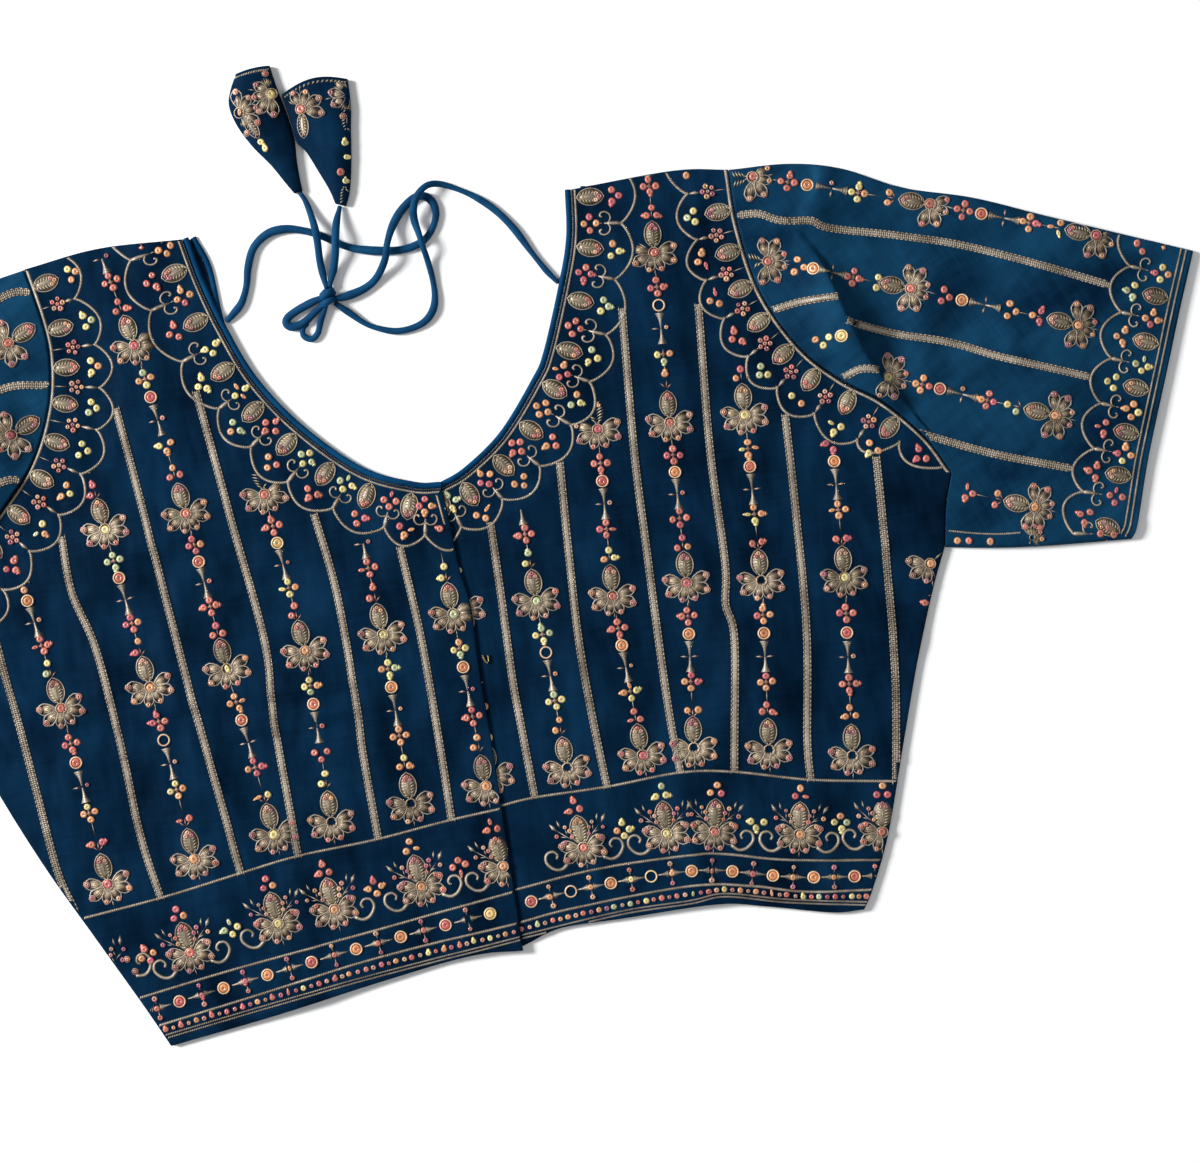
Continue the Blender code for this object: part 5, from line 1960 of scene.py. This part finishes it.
# Columns: piece, route, diameter, swell, step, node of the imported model
STRINGS = (
    ("tie_string_left", LEFT_STRING, 3.9, 0.16, TIE_STEP, "string_left"),
    ("tie_string_right", RIGHT_STRING, 3.3, 0.2, TIE_STEP, "string_right"),
    ("tie_tail_one", FIRST_TAIL, 3.5, 0.14, TIE_STEP, "tail_first"),
    ("tie_tail_two", SECOND_TAIL, 3.6, 0.16, TIE_STEP, "tail_second"),
)
LOOPS = (
    ("bow_loop_one", FIRST_LOOP, 4.0, 0.1, BOW_STEP, "bow_loop_first"),
    ("bow_loop_two", SECOND_LOOP, 3.0, 0.1, BOW_STEP, "bow_loop_second"),
)
KNOT_DIAMETER = 4.2
KNOT_SWELL = 0.05
KNOT_WRAPS = 1.9
KNOT_RADII = (2.5, 1.9)
KNOT_PITCH = 3.9
KNOT_SLANT = 1.5
HOOK_STEPS = 16


def knot_route():
    """The wraps of the string round the bow's middle."""
    cx, cy, cz = KNOT_CENTRE
    turns = np.linspace(0, KNOT_WRAPS, 26)
    angle = 2 * np.pi * turns
    along = (turns - KNOT_WRAPS / 2) * KNOT_PITCH + KNOT_SLANT * np.cos(angle)
    return np.column_stack([cx - 0.3 + KNOT_RADII[0] * np.cos(angle), cy - 0.4 + along,
                            cz + KNOT_RADII[1] * np.sin(angle)])


def make_ties():
    """The knot and its loops, and then the strings and tails."""
    knot = ("knot_wraps", knot_route(), KNOT_DIAMETER, KNOT_SWELL, BOW_STEP, "knot")
    bow = tuple(cord_object(*row[:-1], row[-1:])[0] for row in (knot,) + LOOPS)
    for name, route, diameter, swell, step, node in STRINGS:
        obj, points, length = cord_object(name, route, diameter, swell, step, (node,))


def model_hook():
    """The wire hook at the lap, drawn out ring by ring along its bend."""
    points = spaced(HOOK, HOOK_STEPS) * MM
    run = directions(points)
    turn = math.atan2(run[0, 1], run[0, 0])
    deselect_all()
    bpy.ops.mesh.primitive_circle_add(vertices=12, radius=HOOK_WIRE / 2 * MM, fill_type="NGON",
                                      location=points[0], rotation=(math.pi / 2, 0, turn + math.pi / 2))
    obj = bpy.context.object
    bpy.ops.object.transform_apply(location=True, rotation=True, scale=True)
    edit_whole()
    for i in range(1, len(points)):
        step = points[i] - points[i - 1]
        bpy.ops.mesh.extrude_region_move(TRANSFORM_OT_translate={"value": tuple(step)})
        lean = math.atan2(run[i, 1], run[i, 0]) - math.atan2(run[i - 1, 1], run[i - 1, 0])
        lean = (lean + math.pi) % (2 * math.pi) - math.pi
        bpy.ops.transform.rotate(value=lean, orient_axis="Z", center_override=tuple(points[i]))
    bpy.ops.mesh.select_all(action="SELECT")
    bpy.ops.mesh.normals_make_consistent(inside=False)
    bpy.ops.object.mode_set(mode="OBJECT")
    bpy.ops.object.shade_smooth_by_angle(angle=math.radians(50))
    obj.name = "lap_hook"
    obj.data.name = "lap_hook"
    obj.data.materials.append(material("drawn_brass_wire", drawn_brass))
    fitted(obj, "hook", ("hook",))


# ---------------------------------------------------------------- where the needlework goes


CORD_INSET = 1.9
CUFF_INSET = 4.8
NECK_STEPS = 60
ARMHOLE_STEPS = 60
TUCK_STEPS = 8
CUFF_STEPS = 50
LEAF_MIDDLE = 7.0
LEAF_CLEAR = 3.6

# Scalloped borders. Columns: bulge of the arcs, foot and size of the leaves, how far the leaf's sequins are
# from the base line, and where the plain field starts
SCALLOPS = {
    "neck": (7.5, 0.7, 1.02, 19.0, 30.0),
    "armhole": (7.5, 1.4, 1.0, 21.2, 26.0),
    "cuff": (8.0, 2.0, 1.0, 20.5, 33.2),
}
# A cusp or an arc that is nearer than this to its base line gets no motif
SHALLOW = 14.0
# The motif at a cusp. Columns: shift, depth it is drawn for, where its sequins are and the depth for that
CUSP_MOTIFS = {"neck": (0.0, 21.3, 6.6, 21.3), "cuff": (5.2, 26.5, 9.2, 28.0)}
ARMHOLE_CUSP_DEPTH = 20.5
DOTTED_FLOWER = (10.8, 2.7)

LAP_STEM = ((-2.4, 112), (-1.8, 105), (-1.2, 98))
PLEAT_SEQUINS = ((196.6, 154.2), (200.1, 157.2), (203.7, 154.0), (200.3, 150.6))
PLEAT_MEDALLION = (209.4, 153.3)
# A few that have come round the right sleeve's lower fold
FOLD_SEQUINS = ((248.6, 43), (254.3, 42.2), (264.6, 40), (318.3, 34.6), (321.6, 32.4), (325.2, 33.6))
FOLD_FLOWER = (286.2, 37.8)
FOLD_THREAD = ((246, 48.6), (258, 45.2), (270, 42.6), (280, 41.4))

# The hem border: steps between the motifs of its middle row, and how far apart flowers with scrolls are
HEM_PITCH = {"front_over": 11.4, "front_under": 10.1}
HEM_SHIFT = 3.6
HEM_STEPS = 200
SCROLL_ROOM = 34
SMALL_SEQUIN_PITCH = 4.0

# The fields of stripes and flower chains, from their lowest y to their highest
FIELD_TOP = 262
BACK_FIELD = (-46, 252)
BACK_STRIPES_FOOT = -48
BACK_CHAINS_FOOT = -60
BACK_PITCH = 41.0
BACK_FLOWERS = (293.0, 210.0, 127.0, 46.0, -37.0)
BACK_CUSP_PITCH = 25.5
BACK_CUSP_DEPTH = 21.0


def neck_base(route, turn):
    """The line of the gold cord beside the neck's binding."""
    edge = spaced(route, NECK_STEPS)
    return edge + neck_normals(edge, turn) * (PIPING_WIDTH + CORD_INSET)


def armhole_base(side):
    edges = HALVES[side][0]
    return np.vstack([spaced(edges["armhole"], ARMHOLE_STEPS), spaced(edges["tuck"], TUCK_STEPS)[1:]])


def cuff_base(side):
    """The middle of the double gold line beside the cuff's edge."""
    return inset_line(spaced(SLEEVE_EDGES[side]["cuff"], CUFF_STEPS), -HALVES[side][1], CUFF_INSET)


def foot_of(points, base):
    """The nearest points of a base line, the unit directions away from it, and how far the points are."""
    share = nearest_on_route(points[:, 0], points[:, 1], base)[2]
    foot = at_line_shares(base, share)
    out = points - foot
    depth = np.linalg.norm(out, axis=1)
    return foot, out / depth[:, None], depth


def upright(out):
    """The turn that points a motif's +v along each direction."""
    return np.arctan2(-out[:, 0], out[:, 1])


def half_borders(side, back=False):
    """The borders of a half of the body, at its neck and its armhole: kind, base line and cusps of each."""
    edges, turn, front = HALVES[side]
    neck = BACK_NECK[side] if back else edges["neck"]
    cusps = back_cusps(side) if back else NECK_CUSPS[front]
    return (("neck", neck_base(neck, turn), cusps),
            ("armhole", armhole_base(side), ARMHOLE_CUSPS[front]))


def cuff_border(side):
    return ("cuff", cuff_base(side), CUFF_CUSPS[side])


def back_cusps(side):
    """Cusps round the back neck, evenly apart."""
    turn = HALVES[side][1]
    line = inset_line(neck_base(BACK_NECK[side], turn), turn, BACK_CUSP_DEPTH)
    count = round(lengths_along(line)[-1] / BACK_CUSP_PITCH)
    return at_line_shares(line, np.arange(count + 1) / count)


def scallop_arcs(kind, base, cusps):
    """Each arc between two cusps, as plan points that swell away from the base."""
    cusps = np.array(cusps, float)
    out = foot_of((cusps[1:] + cusps[:-1]) / 2, base)[1]
    t = np.linspace(0, 1, 17)[:, None]
    swell = SCALLOPS[kind][0] * np.sin(np.pi * t) ** 0.8
    return [a + (b - a) * t + o * swell for a, b, o in zip(cusps, cusps[1:], out)]


def beyond(borders):
    """A test of x and y: whether each point is on the far side of all these borders."""
    zones = []
    for kind, base, cusps in borders:
        arcs = np.vstack(scallop_arcs(kind, base, cusps))
        back = np.linalg.norm(arcs[-1] - base[-1]) < np.linalg.norm(arcs[-1] - base[0])
        zones.append(np.vstack([arcs, base[::-1] if back else base]))
    return lambda x, y: ~np.any([inside(x, y, zone) for zone in zones], axis=0)


def field_of(borders, more):
    """A test for points of the plain field: clear of the borders, and passing one more test of x and y."""
    def keep(points):
        held = more(points[:, 0], points[:, 1])
        for kind, base, _ in borders:
            held = held & (distance_from(points, base) > SCALLOPS[kind][4])
        return held

    return keep


def sew_scallops(sewing, kind, base, cusps):
    """A scalloped border: arcs, with a leaf and sequins in each that is deep enough for them."""
    for arc_points in scallop_arcs(kind, base, cusps):
        sewing.rope(arc_points, 1.6)
    _, start, size, reach, _ = SCALLOPS[kind]
    cusps = np.array(cusps, float)
    middles = (cusps[1:] + cusps[:-1]) / 2
    foot, out, depth = foot_of(middles, base)
    turn = upright(out)
    deep = depth > SHALLOW
    body = foot + out * (start + LEAF_MIDDLE)
    whole = deep
    for side in (-1, 1):
        whole = whole & inside(*(body + left_of(out) * LEAF_CLEAR * side).T, sewing.threads.face.outline)
    sewing.motif("leaf", (foot + out * start)[whole], turn[whole], size)
    sewing.cluster(np.where(deep[:, None], foot + out * reach, middles), turn + math.pi, THREE_DOWN)
    foot, out, depth = foot_of(cusps, base)
    deep = depth > SHALLOW
    sew_cusps(sewing, kind, foot[deep], out[deep], depth[deep])


def sew_cusps(sewing, kind, foot, out, depth):
    """The motif at each cusp: a dotted flower at the armhole, and a wedge, curls and sequins elsewhere."""
    turn = upright(out)
    ones = np.ones(len(depth))
    if kind == "armhole":
        deep = depth / ARMHOLE_CUSP_DEPTH
        tones = sewing.rng.uniform(0.9, 1.05, len(foot))
        sewing.threads.sew(armhole_cusp(), foot, turn, np.column_stack([ones, deep]), tones)
        middle = foot + out * (deep * DOTTED_FLOWER[0])[:, None]
        for angle in np.radians(np.arange(0, 360, 72)):
            petals = out * math.cos(angle) + left_of(out) * math.sin(angle)
            sewing.bead(middle + DOTTED_FLOWER[1] * petals, 1.15)
        sewing.bead(middle, 0.9)
        return
    shift, drawn, middle, full = CUSP_MOTIFS[kind]
    tones = sewing.rng.uniform(0.9, 1.05, len(foot))
    stamp = neck_cusp().turned(at=(0, shift))
    sewing.threads.sew(stamp, foot, turn, np.column_stack([ones, depth / drawn]), tones)
    sewing.cluster(foot + out * (middle * depth / full)[:, None], turn, FOUR)


def sew_chains(sewing, columns, keep):
    """Flowers down each column, and the motifs that hang between each one and the next."""
    for column in columns:
        flowers = np.array(column, float)
        for upper, lower in zip(flowers, flowers[1:]):
            sew_link(sewing, upper, lower, keep)
        if keep(flowers[:1])[0]:
            sewing.motif("flower", flowers[0], chain_turn(flowers[1] - flowers[0]))


def sew_link(sewing, upper, lower, keep):
    """A column's motifs from one flower to the next, and the lower flower."""
    run = lower - upper
    length = np.linalg.norm(run)
    run = run / length
    turn = chain_turn(run)
    for name, distance in CHAIN:
        at = upper + run * distance * length / CHAIN_PITCH
        if name == "leaf":
            at = lower - run * (FLOWER_RISE + LEAF_FOOT)
        if keep(at[None])[0]:
            sewing.motif(varied(name, sewing.rng), at, turn)
    sewing.motif(varied("flower", sewing.rng), lower, turn)


def chain_turn(run):
    """The turn of a chain's motifs, which hang along its run."""
    return float(np.arctan2(run[0], -run[1]))


def varied(name, rng):
    """The motif, or now and then a stand-in for it."""
    return str(rng.choice(STAND_INS[name])) if name in STAND_INS else name


def sew_hem(sewing, piece):
    """The hem border: corded lines, a row of flowers with scrolls, and the two rows under it."""
    lines = HEM_LINES[piece]
    for line in lines[:3]:
        sewing.rope(line, 1.6)
    double = spaced(lines[3], 60)
    for shift in (0.7, -0.9):
        sewing.rope(double + (0, shift), 1.1)
    motifs = np.array(sorted(HEM_MOTIFS[piece]), float)
    turn = upright(foot_of(motifs, spaced(lines[1], 80))[1])
    tones = sewing.rng.uniform(0.92, 1.06, len(motifs))
    sewing.threads.sew(hem_motif(), motifs, turn, 1.0, tones)
    wide = np.linalg.norm(motifs[1:] - motifs[:-1], axis=1) > SCROLL_ROOM
    for clear, mirror in ((np.append(wide, True), False), (np.append(True, wide), True)):
        scroll = hem_scroll().turned(mirror=mirror)
        sewing.threads.sew(scroll, motifs[clear], turn[clear], 1.0, tones[clear])
    sewing.cluster(motifs, turn, FLOWER_CENTRE)
    beads = PETAL_BEADS + SPRIG_BEADS + tuple((-u, v) for u, v in SPRIG_BEADS)
    beads += tuple((u, v + FLOWER_RISE + LEAF_FOOT + 0.6) for u, v in LEAF_BEADS)
    for offset in beads:
        sewing.bead(sewing.moved(motifs, turn, offset))
    sewing.cluster(sewing.moved(motifs, turn, (0, 20.8)), turn, THREE_UP)
    between = ((motifs[1:] + motifs[:-1]) / 2)[wide]
    turns = ((turn[1:] + turn[:-1]) / 2)[wide]
    sewing.cluster(sewing.moved(between, turns, (0, 6.6)), turns, FOUR)
    sew_hem_rows(sewing, lines, HEM_PITCH[piece])


def between_lines(first, second, pitch):
    """Places about a pitch apart along the middle of two lines."""
    middle = (spaced(first, HEM_STEPS) + spaced(second, HEM_STEPS)) / 2
    return stepped(middle[::8], pitch)


def sew_hem_rows(sewing, lines, pitch):
    """A row of medallions and stars by turns, and a row of small sequins and beads by turns."""
    places = between_lines(lines[1], lines[2], pitch)[1:] - (HEM_SHIFT, 0)
    run = directions(places)[1::2]
    turn = np.arctan2(run[:, 1], run[:, 0])
    stars = places[1::2]
    sewing.medallion(places[::2])
    sewing.threads.sew(star(), stars, turn, 1.0, sewing.rng.uniform(0.9, 1.1, len(stars)))
    sewing.sequin(stars, turn, 0.85)
    for v in (-4.9, 4.9):
        sewing.bead(sewing.moved(stars, turn, (0, v)), 1.1)
    places = between_lines(lines[2], lines[3], SMALL_SEQUIN_PITCH)
    sewing.sequin(places[::2], 0.0, 0.8)
    sewing.bead(places[1::2], 1.0)


def sew_half_borders(sewing, side, back=False):
    """A half's neck and armhole. On a front, the neck has a second cord and the armhole's has no tuck."""
    turn = HALVES[side][1]
    neck, armhole = half_borders(side, back)
    sewing.rope(neck[1], 1.4)
    if not back:
        sewing.rope(inset_line(neck[1], -turn, 1.5), 0.6, tone=0.7)
    sew_scallops(sewing, *neck)
    if side == "left" and not back:
        sewing.rope(LAP_STEM, 1.3)
    beside = inset_line(armhole[1], -turn, 1.3)
    sewing.rope(beside if back else beside[:-TUCK_STEPS], 1.8)
    sew_scallops(sewing, *armhole)


def sew_stripes(place, face, routes, seed, extra=None):
    sewing = Sewing(face, seed)
    width = settings().needlework.stripe_width / MM
    for route in routes:
        sewing.stripe(route, width)
    sewing.lay("stripes", place, extra)


def sew_front(piece, seed):
    """A front's stripes, its flower chains, its scalloped borders and its hem border."""
    side = FRONTS[piece][0]
    face = face_of(piece)
    borders = half_borders(side)
    sew_stripes(piece, face, FRONT_STRIPES[piece], seed)
    top_line = np.array(sorted(HEM_LINES[piece][0]))

    def over_the_hem(x, y):
        return (y > np.interp(x, *top_line.T) + 3) & (y < FIELD_TOP)

    sewing = Sewing(face, seed + 2)
    sew_chains(sewing, FRONT_CHAINS[piece], field_of(borders, over_the_hem))
    sewing.lay("chains", piece, beyond(borders))
    sewing = Sewing(face, seed + 4)
    sew_half_borders(sewing, side)
    sewing.lay("borders", piece)
    sewing = Sewing(face, seed + 6)
    sew_hem(sewing, piece)
    sewing.lay("hem", piece)


def back_stripes():
    """The back's stripes, which come together a little towards the waist."""
    shares = np.linspace(0, 1, 9)
    return [tuple((k * BACK_PITCH * (1.05 - 0.1 * t), 250 - 298 * t) for t in shares) for k in range(-5, 6)]


def back_chains():
    """The back's flowers, halfway between its stripes."""
    return [[((k + 0.5) * BACK_PITCH * (1.04 - 0.1 * (293 - y) / 330), y) for y in BACK_FLOWERS]
            for k in range(-6, 6)]


def sew_back(seed):
    """The back's needlework, like the fronts'."""
    face = face_of("back")
    borders = sum((half_borders(side, back=True) for side in HALVES), ())
    free = beyond(borders)
    low, high = BACK_FIELD
    sew_stripes("back", face, back_stripes(), seed, lambda x, y: free(x, y) & (y > BACK_STRIPES_FOOT))
    sewing = Sewing(face, seed + 1)
    sew_chains(sewing, back_chains(), field_of(borders, lambda x, y: (y > low) & (y < high)))
    sewing.lay("chains", "back", lambda x, y: free(x, y) & (y > BACK_CHAINS_FOOT))
    sewing = Sewing(face, seed + 2)
    for side in HALVES:
        sew_half_borders(sewing, side, back=True)
    sewing.lay("borders", "back")
    sewing = Sewing(face, seed + 3)
    for piece in FRONTS:
        sew_hem(sewing, piece)
    sewing.lay("hem", "back")


def sew_sleeve(side, face, place, seed):
    """One face of a sleeve: its stripes, its flower chains and its cuff."""
    border = cuff_border(side)
    free = beyond([border])
    armhole = armhole_base(side)
    sew_stripes(place, face, SLEEVE_STRIPES[side], seed, free)

    def on_the_sleeve(x, y):
        return inside(x, y, face.outline) & (nearest_on_route(x, y, armhole)[0] > 2)

    sewing = Sewing(face, seed + 1)
    sew_chains(sewing, SLEEVE_CHAINS[side], field_of([border], on_the_sleeve))
    if side == "right":
        for at in PLEAT_SEQUINS:
            sewing.sequin(at, 0.0, 1.0, np.array([0.8]))
        sewing.motif("medallion", PLEAT_MEDALLION)
        sewing.sequin(FOLD_SEQUINS)
        sewing.motif("open flower", FOLD_FLOWER, math.pi / 2, 0.55)
        sewing.rope(FOLD_THREAD, 1.2)
    sewing.lay("chains", place, free)
    sewing = Sewing(face, seed + 2)
    for inset in (-1.3, 1.3):
        sewing.rope(inset_line(border[1], 1, inset), 1.2)
    sew_scallops(sewing, *border)
    sewing.lay("borders", place)


# Needlework on the tassels. Columns: motif, x, y, turn; and for single sequins: x, y, mood, size
TASSEL_MOTIFS = {
    "tassel_first": (
        ("open flower", -48.0, 324.8, -1.92), ("open flower", -63.4, 318.4, 1.99),
        ("slim leaf", -62.1, 315.2, -2.74),
    ),
    "tassel_second": (
        ("open flower", -33.8, 315.2, 3.01), ("slim leaf", -33.9, 312.0, 3.05),
        ("open flower", -10.6, 316.6, -1.57), ("slim leaf", -11.4, 311.0, 2.97),
        ("slim leaf", -19.4, 272.6, 2.9),
    ),
}
TASSEL_SEQUINS = {
    "tassel_first": (
        (-63.9, 317.9, 0.55, 1.15), (-47.4, 324.4, 0.85, 1.4), (-56.8, 301.4, 0.99, 1.0),
        (-55.4, 298.2, 0.99, 1.0),
    ),
    "tassel_second": (
        (-33.8, 314.2, 0.0, 1.3), (-15.4, 293.4, 0.85, 1.0), (-15.9, 286.8, 0.99, 1.0),
        (-19.9, 279.6, 0.0, 1.1), (-18.6, 275.2, 0.85, 1.0),
    ),
}


def sew_tassel(piece, seed):
    """A tassel's flowers and sequins, and the thread beside its mouth."""
    sewing = Sewing(face_of(piece), seed)
    for name, x, y, turn in TASSEL_MOTIFS[piece]:
        sewing.motif(name, (x, y), turn)
    for x, y, mood, size in TASSEL_SEQUINS[piece]:
        sewing.sequin((x, y), 0.0, size, np.array([mood]))
    plan = tassel_grid(piece, *TASSEL_GRID)[0]
    sewing.rope(plan[-2, 1:-1], 1.5, smooth=False)
    sewing.lay("needlework", piece)


# ---------------------------------------------------------------- stage


VIEW_TURN = math.atan2(-0.18224, 0.98325)
VIEW_CENTRE = (0.0697, 0.0555)
CAMERA_SENSOR = 36.0
FLOOR_SIZE = 6
LIGHT_SIZE = 0.8
SKY_COLOUR = (0.95, 0.97, 1.0, 1)


def make_stage():
    """The floor, two soft lights, light from all round, and a camera that looks straight down."""
    s = settings().stage
    deselect_all()
    bpy.ops.mesh.primitive_plane_add(size=FLOOR_SIZE, location=(0, 0, 0))
    floor = bpy.context.object
    floor.name = "studio_floor"
    bpy.ops.object.transform_apply(location=True, rotation=True, scale=True)
    floor.data.materials.append(material("matt_white_paper", matt_paper, s.floor))
    for name, power, place, target in (
        ("window_light", s.key_power, (-2.2, 1.05, 1.38), (0.05, 0.05, 0)),
        ("overhead_light", s.fill_power, (0.75, -0.3, 1.2), (0.3, 0.05, 0)),
    ):
        data = bpy.data.lights.new(name, "AREA")
        data.energy = power
        data.size = LIGHT_SIZE
        light = linked(name, data)
        light.location = place
        light.rotation_euler = (Vector(target) - Vector(place)).to_track_quat("-Z", "Y").to_euler()
    world = bpy.data.worlds.new("pale_room")
    world.use_nodes = True
    sky = world.node_tree.nodes["Background"].inputs
    sky["Color"].default_value = SKY_COLOUR
    sky["Strength"].default_value = s.sky
    bpy.context.scene.world = world
    camera = bpy.data.cameras.new("camera")
    camera.lens = s.lens
    camera.sensor_width = CAMERA_SENSOR
    eye = linked("camera", camera)
    eye.location = (*VIEW_CENTRE, s.view_width * s.lens / CAMERA_SENSOR)
    eye.rotation_euler = (0, 0, VIEW_TURN)
    bpy.context.scene.camera = eye
    bpy.context.scene.view_settings.view_transform = "Standard"


# ---------------------------------------------------------------- operators


# Where each group's random draws start, so that every run gives the same stitches
SEEDS = {"fronts": 10, "sleeves": (20, 30), "back": 41, "tassels": 50}


class CHOLI_OT_stage(bpy.types.Operator):
    """Sets up the studio floor, the soft lights and the camera"""

    bl_idname = "choli.stage"
    bl_label = "Stage"

    def execute(self, context):
        make_stage()
        return {"FINISHED"}


class CHOLI_OT_panels(bpy.types.Operator):
    """Lays out the back and the two fronts"""

    bl_idname = "choli.panels"
    bl_label = "Back and fronts"

    def execute(self, context):
        make_back()
        for piece in FRONTS:
            make_front(piece)
        return {"FINISHED"}


class CHOLI_OT_sleeves(bpy.types.Operator):
    """Lays out the two sleeves"""

    bl_idname = "choli.sleeves"
    bl_label = "Sleeves"

    def execute(self, context):
        for side in HALVES:
            make_sleeve(side)
        return {"FINISHED"}


class CHOLI_OT_bindings(bpy.types.Operator):
    """Binds the neck's edges"""

    bl_idname = "choli.bindings"
    bl_label = "Neck bindings"

    def execute(self, context):
        make_bindings()
        return {"FINISHED"}


class CHOLI_OT_tassels(bpy.types.Operator):
    """Makes the two cloth tassels"""

    bl_idname = "choli.tassels"
    bl_label = "Tassels"

    def execute(self, context):
        for piece in TASSELS:
            make_tassel(piece)
        return {"FINISHED"}


class CHOLI_OT_ties(bpy.types.Operator):
    """Makes the tie strings, their bow, its knot and its tails"""

    bl_idname = "choli.ties"
    bl_label = "Tie strings"

    def execute(self, context):
        make_ties()
        return {"FINISHED"}


class CHOLI_OT_hook(bpy.types.Operator):
    """Bends the lap's wire hook"""

    bl_idname = "choli.hook"
    bl_label = "Hook"

    def execute(self, context):
        model_hook()
        return {"FINISHED"}


class CHOLI_OT_needlework_fronts(bpy.types.Operator):
    """Sews the fronts: stripes, flower chains, scalloped borders and the hem border"""

    bl_idname = "choli.needlework_fronts"
    bl_label = "Needlework on the fronts"

    def execute(self, context):
        for seed, piece in enumerate(FRONTS, SEEDS["fronts"]):
            sew_front(piece, seed)
        return {"FINISHED"}


class CHOLI_OT_needlework_sleeves(bpy.types.Operator):
    """Sews both faces of the sleeves: stripes, flower chains and the cuffs' scallops"""

    bl_idname = "choli.needlework_sleeves"
    bl_label = "Needlework on the sleeves"

    def execute(self, context):
        for side, seed in zip(HALVES, SEEDS["sleeves"]):
            sew_sleeve(side, face_of("sleeve_" + side), "sleeve_" + side, seed)
            sew_sleeve(side, sleeve_underface(side), "sleeve_under_" + side, seed + 5)
        return {"FINISHED"}


class CHOLI_OT_needlework_back(bpy.types.Operator):
    """Sews the back as the fronts are sewn"""

    bl_idname = "choli.needlework_back"
    bl_label = "Needlework on the back"

    def execute(self, context):
        sew_back(SEEDS["back"])
        return {"FINISHED"}


class CHOLI_OT_needlework_tassels(bpy.types.Operator):
    """Sews the flowers on the tassels"""

    bl_idname = "choli.needlework_tassels"
    bl_label = "Needlework on the tassels"

    def execute(self, context):
        for seed, piece in enumerate(TASSELS, SEEDS["tassels"]):
            sew_tassel(piece, seed)
        return {"FINISHED"}


BUILDERS = (
    CHOLI_OT_stage, CHOLI_OT_panels, CHOLI_OT_sleeves, CHOLI_OT_bindings, CHOLI_OT_tassels, CHOLI_OT_ties,
    CHOLI_OT_hook, CHOLI_OT_needlework_fronts, CHOLI_OT_needlework_sleeves, CHOLI_OT_needlework_back,
    CHOLI_OT_needlework_tassels,
)


class CHOLI_PT_panel(bpy.types.Panel):
    """Lists the settings and the operators that build the blouse"""

    bl_idname = "CHOLI_PT_panel"
    bl_label = "Embroidered choli"
    bl_space_type = "VIEW_3D"
    bl_region_type = "UI"
    bl_category = "Choli"

    def draw(self, context):
        for name in ("cloth", "needlework", "stage"):
            group = getattr(context.scene.choli, name)
            box = self.layout.box()
            box.label(text=name.capitalize())
            for prop in group.bl_rna.properties:
                if prop.identifier not in ("rna_type", "name"):
                    box.prop(group, prop.identifier)
        for builder in BUILDERS:
            self.layout.operator(builder.bl_idname)


CLASSES = (
    CHOLI_PG_cloth, CHOLI_PG_needlework, CHOLI_PG_stage, CHOLI_PG_settings, *BUILDERS, CHOLI_PT_panel,
)


def register():
    for cls in CLASSES:
        bpy.utils.register_class(cls)
    bpy.types.Scene.choli = PointerProperty(type=CHOLI_PG_settings)


def unregister():
    del bpy.types.Scene.choli
    for cls in reversed(CLASSES):
        bpy.utils.unregister_class(cls)


def main():
    """Registers the add-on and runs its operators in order."""
    register()
    for builder in BUILDERS:
        area, name = builder.bl_idname.split(".")
        getattr(getattr(bpy.ops, area), name)()


if __name__ == "__main__":
    main()
